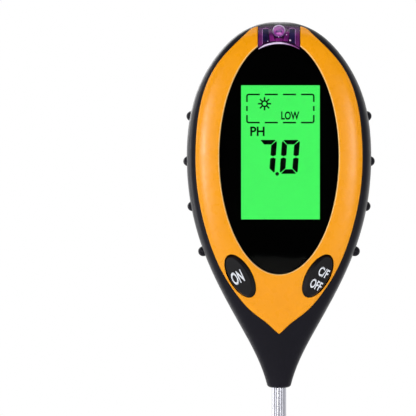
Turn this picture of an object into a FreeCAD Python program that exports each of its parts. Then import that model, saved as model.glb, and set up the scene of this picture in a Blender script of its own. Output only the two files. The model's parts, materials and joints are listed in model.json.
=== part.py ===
"""Handheld digital soil meter: a leaf-shaped case on a long metal probe, as a parametric FreeCAD document.

Frame: +Z up, millimetres. The origin is where the probe's axis leaves the flat end of the case's nose.
The display faces -Y, the battery door faces +Y, and the probe points down along -Z.
"""
import FreeCAD
import Part
import Sketcher
import math
import os
import re

from FreeCAD import Rotation, Vector

SIZES = [
    # case
    ("body_length", 122.0, "nose end to crown"),
    ("body_width", 61.4, "widest, without the grip studs"),
    ("front_depth", 14.0, "split plane to the front at its fullest"),
    ("back_room", 5.0, "battery's back to the case's back at its fullest"),
    ("nose_radius", 3.8, "round end of the nose"),
    ("nose_round", 1.5, "rounding of the nose's end"),
    ("wall", 2.0, "side and back walls"),
    ("front_wall", 2.6, "front wall, which carries the bezel"),
    ("stud_radius", 1.7, "grip stud's ball"),
    ("stud_height", 1.2, "how far a grip stud stands out"),
    ("stud_pitch", 15.0, "grip stud spacing"),
    ("stud_drop", 33.5, "fullest height down to the lowest studs"),
    ("stud_depth", 2.4, "split plane to the studs' centres"),
    # bezel and window
    ("bezel_lift", 0.4, "bezel's face above the case's skin"),
    ("bezel_seat", 1.2, "bezel's sinking into the case"),
    ("bezel_round", 0.45, "rounding of the bezel's edges"),
    ("fit_gap", 0.12, "clearance around inlaid pieces"),
    ("window_margin", 6.5, "crown to the oval window's top"),
    ("window_rim", 7.7, "band of bezel beside the window"),
    ("window_sink", 0.6, "window's face below the case's skin"),
    ("window_drop", 3.6, "front at its fullest to the window's flat back"),
    ("mask_thick", 0.15, "black print behind the window"),
    ("ledge_thick", 1.05, "ledge that the window sits on"),
    # display module
    ("view_width", 25.9, "visible part of the display"),
    ("view_length", 44.1, "visible part of the display"),
    ("view_drop", 0.8, "fullest height down to the display's centre"),
    ("view_shift", 0.48, "display's centre to the right of the middle"),
    ("glass_border", 0.9, "glass beyond the visible part"),
    ("glass_thick", 0.8, "each of the two panes"),
    ("contact_ledge", 2.0, "front pane's contacts below the rear pane"),
    ("film_thick", 0.15, "polariser films"),
    ("film_gap", 0.05, "air between the print and the display"),
    ("film_inset", 0.4, "films' edges inside the glass"),
    ("light_thick", 2.0, "backlight panel"),
    ("lamp_room", 1.4, "backlight's lamps above the panel"),
    ("lamp_width", 3.0, "each lamp"),
    ("lamp_pitch", 8.0, "lamp spacing"),
    ("frame_wall", 1.2, "display frame's wall"),
    ("strip_thick", 1.4, "rubber contact strip"),
    # circuit board
    ("board_depth", 5.4, "split plane to the board's front face"),
    ("board_thick", 1.6, "board"),
    ("board_inset", 10.2, "board's edge inside the case's widest"),
    ("board_margin", 9.0, "crown to the board's top"),
    ("board_screw_radius", 0.7, "board screw's shank"),
    ("board_screw_head", 1.5, "board screw's head radius"),
    ("board_boss", 1.9, "board's bosses"),
    ("chip_side", 12.0, "controller chip"),
    ("chip_thick", 1.2, "controller chip"),
    ("chip_rise", 6.0, "board's foot up to the chip"),
    # keys
    ("key_width", 7.3, "visible oval"),
    ("key_length", 15.4, "visible oval"),
    ("key_tilt", 30.0, "degrees from upright"),
    ("key_slope", 8.0, "degrees that the key's face leans outwards"),
    ("key_face", 13.0, "split plane to the middle of the key's face"),
    ("key_bevel", 0.8, "key's sloping rim"),
    ("key_shift", 0.55, "key's face outwards from the middle of its foot"),
    ("key_gap", 0.25, "clearance around a key"),
    ("flange_edge", 1.0, "flange beyond the key"),
    ("flange_thick", 0.65, "flange"),
    ("flange_depth", 8.15, "split plane to the flange's front face"),
    ("rest_gap", 0.1, "key's flange to its stop, and its stem to the switch"),
    ("switch_side", 5.2, "tactile switch"),
    ("switch_height", 1.3, "tactile switch's base"),
    ("plunger_radius", 1.5, "tactile switch's plunger"),
    ("plunger_height", 0.6, "plunger above its base"),
    # light sensor
    ("lens_width", 13.7, "sensor cover"),
    ("lens_drop", 8.2, "crown to the middle of the cover's lower edge"),
    ("lens_arc", 13.1, "radius of the cover's lower edge"),
    ("lens_edge", 1.3, "cover resting on the case"),
    ("eye_drop", 4.1, "crown to the photodiode's axis"),
    ("eye_radius", 2.4, "photodiode"),
    ("eye_front", 6.6, "split plane to the photodiode's dome"),
    ("eye_length", 5.0, "photodiode"),
    ("lead_radius", 0.25, "photodiode's leads"),
    ("lead_spread", 1.27, "each lead from the middle"),
    # battery bay and door
    ("battery_width", 26.0, "9 V block"),
    ("battery_thick", 17.0, "9 V block"),
    ("battery_length", 46.4, "9 V block without its terminals"),
    ("battery_drop", 26.4, "fullest height down to the block's foot"),
    ("battery_round", 2.0, "block's edges"),
    ("terminal_height", 2.6, "9 V terminals"),
    ("terminal_spread", 6.35, "each terminal from the middle"),
    ("stud_pole", 2.7, "round terminal's radius"),
    ("socket_outer", 4.2, "ring terminal's radius"),
    ("socket_inner", 3.2, "ring terminal's bore"),
    ("socket_floor", 0.5, "ring terminal's floor"),
    ("lead_across", 4.0, "each battery lead from the middle"),
    ("snap_width", 25.0, "battery clip"),
    ("snap_depth", 12.0, "battery clip"),
    ("snap_thick", 1.8, "battery clip"),
    ("bay_gap", 0.4, "room around the block"),
    ("bay_wall", 1.5, "bay"),
    ("bay_front", 1.7, "split plane to the bay's front face, towards the display"),
    ("snap_room", 5.4, "room above the block for the clip"),
    ("lead_bore", 1.1, "hole in the bay for each battery lead"),
    ("wire_radius", 0.7, "battery and probe leads"),
    ("door_width", 28.0, "battery door"),
    ("door_length", 52.0, "battery door"),
    ("door_thick", 1.7, "battery door"),
    ("door_gap", 0.15, "clearance around the door"),
    ("hook_width", 4.0, "each of the door's two hooks"),
    ("hook_across", 8.0, "hook's centre from the middle"),
    ("hook_reach", 1.4, "hook beyond the door's top edge"),
    ("hook_thick", 1.2, "hook"),
    ("hook_root", 2.0, "hook below the door's top edge"),
    ("groove_width", 1.2, "finger grooves on the door"),
    ("groove_depth", 0.6, "finger grooves"),
    # case screws
    ("screw_inset", 8.2, "upper screws inside the case's widest"),
    ("screw_rise", 9.0, "fullest height up to the upper screws"),
    ("screw_radius", 1.0, "screw's shank"),
    ("screw_head", 2.2, "screw's head radius"),
    ("screw_head_height", 1.6, "screw's head"),
    ("screw_seat", 5.0, "split plane to the seat of the screw's head"),
    ("screw_grip", 5.0, "screw in front of the split plane"),
    ("column_radius", 3.3, "rear screw columns"),
    ("boss_radius", 2.8, "front screw bosses"),
    ("screw_gap", 0.05, "clearance around a screw in its pilot"),
    # probe
    ("probe_radius", 2.4, "probe"),
    ("probe_length", 200.0, "nose end to the point"),
    ("bore_radius", 1.6, "tube's bore"),
    ("root_length", 16.0, "tube inside the case"),
    ("root_radius", 2.1, "tube inside the case, turned down to a shoulder"),
    ("tip_length", 18.0, "tip electrode with its point"),
    ("point_length", 10.0, "cone"),
    ("point_radius", 0.5, "blunted point"),
    ("ring_length", 4.0, "insulating ring between the electrodes"),
    ("spigot_length", 5.0, "ring's spigots in the tube and the tip"),
    ("socket_radius", 5.4, "core of the nose that grips the probe"),
    ("socket_length", 15.0, "core of the nose"),
    ("collar_radius", 4.0, "collar pressed on the tube"),
    ("collar_foot", 9.5, "nose end to the collar"),
    ("collar_length", 3.0, "collar"),
]

# Worked out from the sizes. Y runs from the display (negative) to the battery door (positive).
PLACES = [
    ("half_width", "body_width / 2"),
    ("fullest", "body_length * 0.648"),
    ("window_top", "body_length - window_margin"),
    ("window_foot", "body_length * 0.3123"),
    ("window_middle", "(window_top + window_foot) / 2"),
    ("window_rise", "(window_top - window_foot) / 2"),
    ("window_reach", "half_width * 0.89 - window_rim"),
    ("window_back", "window_drop - front_depth"),
    ("ledge_front", "window_back + mask_thick"),
    ("ledge_back", "ledge_front + ledge_thick"),
    ("film_front", "ledge_front + film_gap"),
    ("pane_front", "film_front + film_thick"),
    ("pane_middle", "pane_front + glass_thick"),
    ("pane_back", "pane_middle + glass_thick"),
    ("light_front", "pane_back + film_thick"),
    ("light_back", "light_front + light_thick"),
    ("view_middle", "fullest - view_drop"),
    ("pane_reach", "view_width / 2 + glass_border"),
    ("pane_top", "view_middle + view_length / 2 + glass_border"),
    ("pane_foot", "view_middle - view_length / 2 - glass_border"),
    ("contact_foot", "pane_foot - contact_ledge"),
    ("board_front", "-board_depth"),
    ("board_back", "board_thick - board_depth"),
    ("board_reach", "half_width - board_inset"),
    ("board_top", "body_length - board_margin"),
    ("board_foot", "body_length * 0.254"),
    ("board_screw_across", "board_reach - 2.3"),
    ("board_screw_low", "contact_foot - 3.2"),
    ("board_screw_high", "board_top - 3.5"),
    ("key_across", "half_width * 0.4156"),
    ("key_height", "body_length * 0.308"),
    ("flange_front", "-flange_depth"),
    ("plunger_front", "board_front - switch_height - plunger_height"),
    ("lens_foot", "body_length - lens_drop"),
    ("eye_height", "body_length - eye_drop"),
    ("eye_back", "eye_length - eye_front"),
    ("battery_foot", "fullest - battery_drop"),
    ("battery_top", "battery_foot + battery_length"),
    ("bay_floor", "bay_wall - bay_front"),
    ("battery_front", "bay_floor + bay_gap / 2"),
    ("battery_middle", "battery_front + battery_thick / 2"),
    ("bay_reach", "battery_width / 2 + bay_gap"),
    ("bay_foot", "battery_foot - bay_gap"),
    ("bay_top", "battery_top + terminal_height + snap_room"),
    ("bay_back", "battery_front + battery_thick + bay_gap"),
    ("snap_foot", "battery_top + terminal_height"),
    ("door_foot", "battery_foot - 0.1"),
    ("door_top", "door_foot + door_length"),
    ("back_depth", "battery_front + battery_thick + back_room"),
    ("hinge_depth", "back_depth - 1.94"),
    ("hook_back", "bay_back - door_gap"),
    ("screw_across", "half_width - screw_inset"),
    ("screw_high", "fullest + screw_rise"),
    ("screw_low", "body_length * 0.197"),
    ("tube_length", "probe_length - tip_length - ring_length"),
]

# The case's silhouette and depth from the nose to the crown, as shares of its length, half width and depths.
STATIONS = [
    (0.066, 0.210, 0.39, 0.26),
    (0.164, 0.408, 0.62, 0.46),
    (0.287, 0.669, 0.86, 0.74),
    (0.410, 0.868, 0.945, 0.91),
    (0.525, 0.972, 0.985, 0.98),
    (0.648, 1.000, 1.000, 1.000),
    (0.795, 0.912, 0.975, 0.965),
    (0.902, 0.690, 0.90, 0.84),
    (0.970, 0.410, 0.72, 0.60),
    (0.992, 0.215, 0.46, 0.37),
    (1.000, 0.000, 0.000, 0.000),
]
# Control points of a quarter section, as shares of half width and depth: the nose is round, the head boxy.
ROUND = [(1, 0), (1, 0.131)]
ROUND += [(1.026 * math.cos(math.radians(a)), 1.026 * math.sin(math.radians(a))) for a in (22.5, 45, 67.5)]
ROUND += [(0, 1.026)]
BOXY_FRONT = [(1, 0), (1, 0.42), (0.985, 0.80), (0.84, 0.985), (0.45, 1.0), (0, 1.0)]
BOXY_BACK = [(1, 0), (1, 0.40), (0.97, 0.76), (0.80, 0.96), (0.45, 1.0), (0, 1.0)]
ROUND_UP_TO = 0.30      # share of the length over which a section turns from round to boxy

# The bezel's outline from its point to its top, as shares of the case's length and half width.
BEZEL_OUTLINE = [
    (0.150, 0.000),
    (0.175, 0.108),
    (0.210, 0.285),
    (0.257, 0.452),
    (0.339, 0.648),
    (0.437, 0.788),
    (0.557, 0.880),
    (0.664, 0.890),
    (0.796, 0.815),
    (0.893, 0.620),
    (0.966, 0.340),
    (0.986, 0.000),
]
# Small parts on the board: middle, rise above the board's foot, width, height, thickness.
BOARD_PARTS = [
    (-11.0, 7.0, 3.0, 6.0, 1.5),    # crystal
    (10.5, 5.0, 2.0, 1.2, 0.8),     # resistors and capacitors
    (10.5, 8.0, 2.0, 1.2, 0.8),
    (10.5, 11.0, 2.0, 1.2, 0.8),
    (-12.5, 15.0, 2.0, 1.2, 0.8),
    (12.5, 14.5, 4.0, 3.0, 1.4),    # regulator
]
FAR = 60                # reach of cutting tools past the case

doc = FreeCAD.newDocument("SoilMeter")
sheet = doc.addObject("Spreadsheet::Sheet", "Sizes")
for row, (alias, value, note) in enumerate(SIZES, start=1):
    sheet.set(f"A{row}", alias)
    sheet.set(f"B{row}", str(value))
    sheet.set(f"C{row}", note)
    sheet.setAlias(f"B{row}", alias)
doc.recompute()
places = doc.addObject("App::FeaturePython", "Places")
owners = {alias: "Sizes" for alias, value, note in SIZES}
nodes = {}              # node name -> its document object


# ---- formulas, primitives and booleans

def formula(text):
    """A formula in plain names, as the document wants it."""
    def owned(word):
        return f"{owners[word[0]]}.{word[0]}" if word[0] in owners else word[0]

    return re.sub(r"[a-z_]+", owned, text)


def number(text):
    """What a formula comes to."""
    return float(places.evalExpression(formula(str(text))))


def bind(thing, **formulas):
    """Ties properties to formulas."""
    for name, text in formulas.items():
        thing.setExpression(name, formula(str(text)))


def put(thing, x, y, z, rotation=Rotation()):
    """Ties where a thing stands to formulas."""
    thing.Placement = FreeCAD.Placement(Vector(), rotation)
    for axis, text in zip("xyz", (x, y, z)):
        thing.setExpression(f"Placement.Base.{axis}", formula(str(text)))
    return thing


def block(name, x, y, z):
    """A box, from one formula to another along each axis."""
    thing = doc.addObject("Part::Box", name)
    bind(thing, Length=f"({x[1]}) - ({x[0]})", Width=f"({y[1]}) - ({y[0]})", Height=f"({z[1]}) - ({z[0]})")
    return put(thing, x[0], y[0], z[0])


def wide(reach, shift="0"):
    """From left to right of the middle, for a block."""
    return f"{shift} - ({reach})", f"{shift} + ({reach})"


ALONG = {
    "+z": Rotation(),
    "+y": Rotation(Vector(1, 0, 0), -90),
    "-y": Rotation(Vector(1, 0, 0), 90),
    "-z": Rotation(Vector(1, 0, 0), 180),
}


def rod(name, at, along, radius, length):
    """A cylinder."""
    thing = doc.addObject("Part::Cylinder", name)
    bind(thing, Radius=radius, Height=length)
    return put(thing, *at, ALONG[along])


def cut(name, base, *tools):
    """The base without the tools."""
    thing = doc.addObject("Part::Cut", name)
    thing.Base = base
    thing.Tool = tools[0] if len(tools) == 1 else join(f"{name}Tools", *tools)
    return thing


def join(name, *pieces):
    """Pieces that make one solid, or one tool."""
    thing = doc.addObject("Part::MultiFuse", name)
    thing.Shapes = list(pieces)
    return thing


def overlap(name, *pieces):
    """What the pieces share."""
    thing = doc.addObject("Part::MultiCommon", name)
    thing.Shapes = list(pieces)
    return thing


def group(name, *pieces):
    """Separate solids in one node."""
    thing = doc.addObject("Part::Compound", name)
    thing.Links = list(pieces)
    return thing


def free_shape(name, shape):
    """A free-form shape that no primitive makes."""
    thing = doc.addObject("Part::Feature", name)
    thing.Shape = shape
    return thing


def node(name, thing):
    """Names a finished sub-part."""
    thing.Label = name
    nodes[name] = thing
    return thing


def origin_plane(body, role):
    """One of a body's own planes."""
    return next(plane for plane in body.Origin.OriginFeatures if plane.Role == role)


def outline_sketch(body, role, corners):
    """A closed sketch through corners, each a pair of formulas of zero or more."""
    sketch = body.newObject("Sketcher::SketchObject", f"{body.Name}Outline")
    sketch.AttachmentSupport = [(origin_plane(body, role), "")]
    sketch.MapMode = "FlatFace"
    points = [Vector(number(x), number(y), 0) for x, y in corners]
    for start, end in zip(points, points[1:] + points[:1]):
        sketch.addGeometry(Part.LineSegment(start, end))
    for index, corner in enumerate(corners):
        before = (index - 1) % len(corners)
        sketch.addConstraint(Sketcher.Constraint("Coincident", before, 2, index, 1))
        for kind, axis, text in (("DistanceX", -2, corner[0]), ("DistanceY", -1, corner[1])):
            if str(text) == "0":
                sketch.addConstraint(Sketcher.Constraint("PointOnObject", index, 1, axis))
            else:
                made = sketch.addConstraint(Sketcher.Constraint(kind, -1, 1, index, 1, number(text)))
                sketch.setExpression(f"Constraints[{made}]", formula(str(text)))
    return sketch


def turned(name, at, along, corners):
    """A body revolved about its own Z, from (radius, height) corners."""
    body = doc.addObject("PartDesign::Body", name)
    sketch = outline_sketch(body, "XZ_Plane", corners)
    revolution = body.newObject("PartDesign::Revolution", f"{name}Turn")
    revolution.Profile = sketch
    revolution.ReferenceAxis = (sketch, ["V_Axis"])
    revolution.Angle = 360
    sketch.Visibility = False
    return put(body, *at, ALONG[along])


def cord(name, radius, points):
    """A wire along straight runs that tangent arcs join."""
    spots = [Vector(*map(number, point)) for point in points]
    edges, start = [], spots[0]
    for before, corner, after in zip(spots, spots[1:], spots[2:]):
        back, ahead = (before - corner), (after - corner)
        half_turn = (math.pi - back.getAngle(ahead)) / 2
        reach = 0.45 * min(back.Length, ahead.Length)
        enter, leave = corner + back.normalize() * reach, corner + ahead.normalize() * reach
        bend = reach / math.tan(half_turn)
        inward = (back + ahead).normalize()
        middle = corner + inward * (math.hypot(bend, reach) - bend)
        edges += [Part.makeLine(start, enter), Part.Arc(enter, middle, leave).toShape()]
        start = leave
    edges.append(Part.makeLine(start, spots[-1]))
    heading = (spots[1] - spots[0]).normalize()
    section = Part.Wire(Part.makeCircle(number(radius), spots[0], heading))
    return free_shape(name, Part.Wire(edges).makePipeShell([section], True, False))


# ---- the case's free-form skin

def stations(side, inset, deep, first):
    """Half width, depth and height from the nose up, drawn in by inset, and by deep in depth."""
    length, half_width = number("body_length"), number("half_width")
    depth, column = (number("front_depth"), 2) if side == "front" else (number("back_depth"), 3)
    nose = number("nose_radius")
    profile = [(nose, nose, 0.0)]
    profile += [(row[1] * half_width, row[column] * depth, row[0] * length) for row in STATIONS]
    drawn = []
    for index, (across, out, height) in enumerate(profile):
        below, above = profile[max(index - 1, 0)], profile[min(index + 1, len(profile) - 1)]
        run, rise = above[0] - below[0], above[2] - below[2]
        crown, foot = index == len(profile) - 1, index == 0
        run, rise = (-1, 0) if crown else (run, rise)
        slant = math.hypot(run, rise)
        drawn.append((
            0.0 if crown else across - inset * rise / slant,
            0.0 if crown else out - deep,
            height if foot else height + inset * run / slant,
        ))
    return drawn[first:]


def rail(side, inset=0.0, deep=0.0, first=0):
    """The curve of half width (x), depth (y) and height (z) along the case."""
    spots = [Vector(*spot) for spot in stations(side, inset, deep, first)]
    travel = [0.0]
    for start, end in zip(spots, spots[1:]):
        travel.append(travel[-1] + math.hypot(end.x - start.x, end.z - start.z))
    curve = Part.BSplineCurve()
    curve.interpolate(Points=spots, Parameters=travel)
    return curve


def half_case(side, inset=0.0, deep=0.0, first=0):
    """A solid half of the case, closed by the split plane and a flat nose end."""
    curve = rail(side, inset, deep, first)
    sign, boxy = (-1, BOXY_FRONT) if side == "front" else (1, BOXY_BACK)
    net = []
    for pole in curve.getPoles():
        share = min(1, max(0, pole.z / (ROUND_UP_TO * number("body_length"))))
        quarter = [
            ((1 - share) * a[0] + share * b[0], (1 - share) * a[1] + share * b[1])
            for a, b in zip(ROUND, boxy)
        ]
        section = quarter + [(-across, out) for across, out in reversed(quarter[:-1])]
        net.append([Vector(pole.x * across, sign * pole.y * out, pole.z) for across, out in section])
    spans = len(net[0]) - 3
    surface = Part.BSplineSurface()
    surface.buildFromPolesMultsKnots(
        net, curve.getMultiplicities(), [4] + [1] * (spans - 1) + [4],
        curve.getKnots(), list(range(spans + 1)), False, False, 3, 3,
    )
    skin = surface.toShape()
    rims = [edge for edge in skin.Edges if not edge.Degenerated]
    arc = min(rims, key=lambda edge: edge.BoundBox.ZLength)
    sides = [edge for edge in rims if not edge.isSame(arc)]
    foot = Part.makeLine(arc.Vertexes[0].Point, arc.Vertexes[-1].Point)
    cap = Part.Face(Part.Wire([arc, foot]))
    split = Part.Face(Part.Wire(Part.__sortEdges__(sides + [foot])))
    shell = Part.Shell([skin, cap, split])
    shell.sewShape()
    solid = Part.Solid(shell)
    if solid.Volume < 0:
        solid.reverse()
    return solid


def skin(name, side, inset="0", deep="0", first=0):
    """Half of the case, drawn in by formulas."""
    return free_shape(name, half_case(side, number(inset), number(deep), first))


def bezel_prism(name, spread):
    """The bezel's outline, spread outwards, as a tool along Y."""
    length, half_width, margin = number("body_length"), number("half_width"), number(spread)
    spots = [Vector(share * half_width, 0, rise * length) for rise, share in BEZEL_OUTLINE]
    moved = [spots[0] + Vector(0, 0, -margin)]
    for below, spot, above in zip(spots, spots[1:], spots[2:]):
        tangent = (above - below).normalize()
        moved.append(spot + Vector(tangent.z, 0, -tangent.x) * margin)
    moved.append(spots[-1] + Vector(0, 0, margin))
    curve = Part.BSplineCurve()
    curve.interpolate(Points=moved, InitialTangent=Vector(8, 0, 6), FinalTangent=Vector(-12, 0, 0))
    right = curve.toShape()
    face = Part.Face(Part.Wire([right, right.mirror(Vector(), Vector(1, 0, 0))]))
    return free_shape(name, face.extrude(Vector(0, -FAR, 0)))


def oval(name, at, major, minor, tilt=0.0, slope=0.0):
    """An ellipse facing the display's side, its long axis upright or leaning by tilt, its face by slope."""
    thing = doc.addObject("Part::Ellipse", name)
    bind(thing, MajorRadius=major, MinorRadius=minor)
    lean = Rotation(Vector(0, 0, 1), 90 - tilt)
    long_axis = Vector(math.sin(math.radians(tilt)), 0, math.cos(math.radians(tilt)))
    return put(thing, *at, Rotation(long_axis, slope) * Rotation(Vector(1, 0, 0), 90) * lean)


def pushed(name, face, length):
    """A flat outline pushed towards the display's side."""
    thing = doc.addObject("Part::Extrusion", name)
    thing.Base = face
    thing.DirMode = "Custom"
    thing.Dir = Vector(0, -1, 0)
    thing.Solid = True
    bind(thing, LengthFwd=length)
    return thing


for alias, text in PLACES:
    places.addProperty("App::PropertyFloat", alias)
    places.setExpression(alias, formula(text))
    owners[alias] = "Places"
    places.recompute()


# ---- tools that several pieces share

front_skin = skin("FrontSkin", "front")
back_skin = skin("BackSkin", "back")
bezel_bed = skin("BezelBed", "front", "0", "bezel_seat")
window_prism = pushed(
    "WindowPrism",
    oval("WindowOval", (0, "ledge_front", "window_middle"), "window_rise", "window_reach"),
    FAR,
)


def lens_prism(name, spread):
    """The sensor cover's outline as a tool along Y: straight sides over an arched lower edge."""
    height = ("lens_foot - lens_arc", FAR * 3)
    sides = block(f"{name}Sides", wide(f"lens_width / 2 + {spread}"), (-FAR, 0), height)
    arch = rod(f"{name}Arch", (0, 0, "lens_foot - lens_arc"), "-y", f"lens_arc - {spread}", FAR)
    return cut(name, sides, arch)


def key_prism(name, side, spread):
    """A key's outline as a tool along Y."""
    face = oval(
        f"{name}Oval", (f"{side} * key_across", "flange_front", "key_height"),
        f"key_length / 2 + {spread}", f"key_width / 2 + {spread}", side * number("key_tilt"),
    )
    return pushed(name, face, FAR)


def flange_room(name, side):
    """Where a key's flange travels inside the front shell."""
    face = oval(
        f"{name}Oval", (f"{side} * key_across", 0, "key_height"), "key_length / 2 + flange_edge + key_gap",
        "key_width / 2 + flange_edge + key_gap", side * number("key_tilt"),
    )
    return pushed(name, face, "flange_depth + rest_gap")


# ---- bezel, window and sensor cover

def make_bezel():
    plate = cut(
        "BezelPlate",
        overlap("BezelRaised", bezel_prism("BezelPrism", "0"), skin("BezelTop", "front", "0", "-bezel_lift")),
        bezel_bed,
    )
    ring = cut("BezelRing", plate, window_prism)
    notched = cut("BezelNotched", ring, lens_prism("LensNotch", "fit_gap"))
    right = overlap("BezelRight", notched, block("BezelRightLimit", (0, FAR), (-FAR, 0), (0, FAR * 3)))
    doc.recompute()
    crest = min(right.Shape.Faces, key=lambda face: face.CenterOfMass.y if face.Area > 500 else 0)
    rims = [edge for edge in crest.Edges if edge.BoundBox.XMax > 0.01]
    rounded = doc.addObject("Part::Fillet", "BezelRightRounded")
    rounded.Base = right
    rounded.Edges = [
        (index, number("bezel_round"), number("bezel_round"))
        for index, edge in enumerate(right.Shape.Edges, 1) if any(edge.isSame(rim) for rim in rims)
    ]
    left = doc.addObject("Part::Mirroring", "BezelLeftRounded")
    left.Source = rounded
    left.Normal = Vector(1, 0, 0)
    whole = join("BezelWhole", rounded, left)
    drilled = cut("BezelLeftKey", whole, key_prism("BezelKeyHoleLeft", -1, "key_gap"))
    node("bezel", cut("Bezel", drilled, key_prism("BezelKeyHoleRight", 1, "key_gap")))


def make_window():
    face = oval(
        "WindowEdge", (0, "window_back", "window_middle"),
        "window_rise - fit_gap", "window_reach - fit_gap",
    )
    top = skin("WindowTop", "front", "0", "window_sink")
    slab = overlap("WindowSlab", pushed("WindowPush", face, FAR), top)
    node("display_window", cut("Window", slab, lens_prism("WindowNotch", "fit_gap")))
    print_face = oval(
        "MaskEdge", (0, "ledge_front", "window_middle"),
        "window_rise - fit_gap", "window_reach - fit_gap",
    )
    aperture = block(
        "MaskAperture", wide("view_width / 2", "view_shift"), ("window_back - 1", "ledge_front + 1"),
        ("view_middle - view_length / 2", "view_middle + view_length / 2"),
    )
    sheet_of_print = cut("MaskSheet", pushed("MaskPush", print_face, "mask_thick"), aperture)
    node("window_mask", cut("Mask", sheet_of_print, lens_prism("MaskNotch", "fit_gap")))


def make_lens():
    raised = overlap(
        "LensRaised",
        bezel_prism("LensLimit", "0"),
        skin("LensTop", "front", "0", "-bezel_lift / 2"),
        lens_prism("LensPrism", "0"),
    )
    node("sensor_cover", cut("Lens", raised, bezel_bed))


# ---- case halves

def stud(name, side, step):
    """A grip stud on the case's flank."""
    height = number(f"fullest - stud_drop + {step} * stud_pitch")
    curve = rail("front")
    flank = curve.value(curve.parameter(Vector(number("half_width"), number("front_depth"), height)))
    ball = Part.makeSphere(number("stud_radius"), Vector(), Vector(side, 0, 0))
    across = flank.x + number("stud_height - stud_radius")
    ball.translate(Vector(side * across, -number("stud_depth"), height))
    return free_shape(name, ball)


def nose_gauge(name):
    """What the rounding takes off the nose's end."""
    ring = turned(f"{name}Blank", (0, 0, 0), "+z", [
        ("nose_radius - nose_round + 0.4", "0"), (8, "0"), (8, "nose_round"),
        ("nose_radius - nose_round + 0.4", "nose_round"),
    ])
    roll = doc.addObject("Part::Torus", f"{name}Roll")
    bind(roll, Radius1="nose_radius - nose_round + 0.4", Radius2="nose_round")
    put(roll, 0, 0, "nose_round")
    return cut(name, ring, roll)


def screw_spots():
    """Names and places of the case screws."""
    return [
        ("Left", "-screw_across", "screw_high"),
        ("Right", "screw_across", "screw_high"),
        ("Low", "0", "screw_low"),
    ]


def board_screw_spots():
    """Names and places of the board's screws."""
    return [
        ("LowLeft", "-board_screw_across", "board_screw_low"),
        ("LowRight", "board_screw_across", "board_screw_low"),
        ("HighLeft", "-half_width * 0.277", "board_screw_high"),
        ("HighRight", "half_width * 0.277", "board_screw_high"),
    ]


def probe_bores(name):
    """Room in the nose for the probe's root and its collar."""
    bore = rod(f"{name}Bore", (0, 0, -1), "+z", "root_radius + screw_gap", "socket_length + 2")
    pocket = rod(
        f"{name}Pocket", (0, 0, "collar_foot - screw_gap"), "+z",
        "collar_radius + screw_gap", "collar_length + 2 * screw_gap",
    )
    return join(name, bore, pocket)


def make_front_shell():
    hollow = overlap(
        "FrontHollow",
        skin("FrontInner", "front", "wall", "front_wall", 1),
        block("FrontHollowLimit", (-FAR, FAR), ("ledge_back", 1), (0, FAR * 3)),
    )
    shell = cut("FrontHollowed", front_skin, hollow)
    recess_floor = skin("BezelRecessFloor", "front", "0", "bezel_seat + fit_gap")
    recess = cut("BezelRecess", bezel_prism("BezelRecessPrism", "fit_gap"), recess_floor)
    shell = cut("FrontRecessed", shell, recess)
    socket = overlap(
        "FrontSocket", front_skin,
        rod("FrontSocketRod", (0, 0, 0), "+z", "socket_radius", "socket_length"),
    )
    bosses = [
        overlap(
            f"FrontBoss{spot}", recess_floor,
            rod(f"FrontBossRod{spot}", (x, 0, z), "-y", "boss_radius", FAR),
        )
        for spot, x, z in screw_spots()
    ]
    posts = [
        rod(f"BoardPost{spot}", (x, "board_front", z), "-y", "board_boss", "board_front - ledge_back + 0.5")
        for spot, x, z in board_screw_spots()
    ]
    studs = [stud(f"Stud{side}{step}", side, step) for side in (-1, 1) for step in range(4)]
    shell = join("FrontBuilt", shell, socket, *bosses, *posts, *studs)
    pilots = [
        rod(f"FrontPilot{spot}", (x, 1, z), "-y", "screw_radius + screw_gap", "screw_grip + 2")
        for spot, x, z in screw_spots()
    ]
    pilots += [
        rod(f"BoardPilot{spot}", (x, "board_front + 1", z), "-y", "board_screw_radius + screw_gap", "5")
        for spot, x, z in board_screw_spots()
    ]
    display_hole = block(
        "DisplayHole", wide("pane_reach + fit_gap", "view_shift"), (-FAR, "ledge_back + 1"),
        ("contact_foot - fit_gap", "pane_top + fit_gap"),
    )
    sensor_hole = block(
        "SensorHole", wide("lens_width / 2 - lens_edge"), (-FAR, "eye_back"),
        ("lens_foot + lens_edge", "eye_height + eye_radius - 0.4"),
    )
    eye_start = (0, "eye_back + 1", "eye_height")
    eye_hole = rod("EyeHole", eye_start, "-y", "eye_radius + 0.15", "eye_length + 1.2")
    holes = [
        window_prism, display_hole, sensor_hole, eye_hole,
        key_prism("ShellKeyHoleLeft", -1, "key_gap"), key_prism("ShellKeyHoleRight", 1, "key_gap"),
        flange_room("FlangeRoomLeft", -1), flange_room("FlangeRoomRight", 1),
        probe_bores("FrontProbeRoom"), nose_gauge("FrontNoseGauge"), *pilots,
    ]
    for index, hole in enumerate(holes):
        shell = cut(f"FrontHoles{index}", shell, hole)
    node("front_shell", shell)


def bay_opening(name, margin, deep):
    """The door's outline through the back skin, down to a depth below it."""
    tool = block(
        f"{name}Block", wide(f"door_width / 2 + {margin}"), (5, FAR),
        (f"door_foot - {margin}", f"door_top + {margin}"),
    )
    return overlap(name, tool, skin(f"{name}Skin", "back")), skin(f"{name}Floor", "back", deep, deep)


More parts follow.
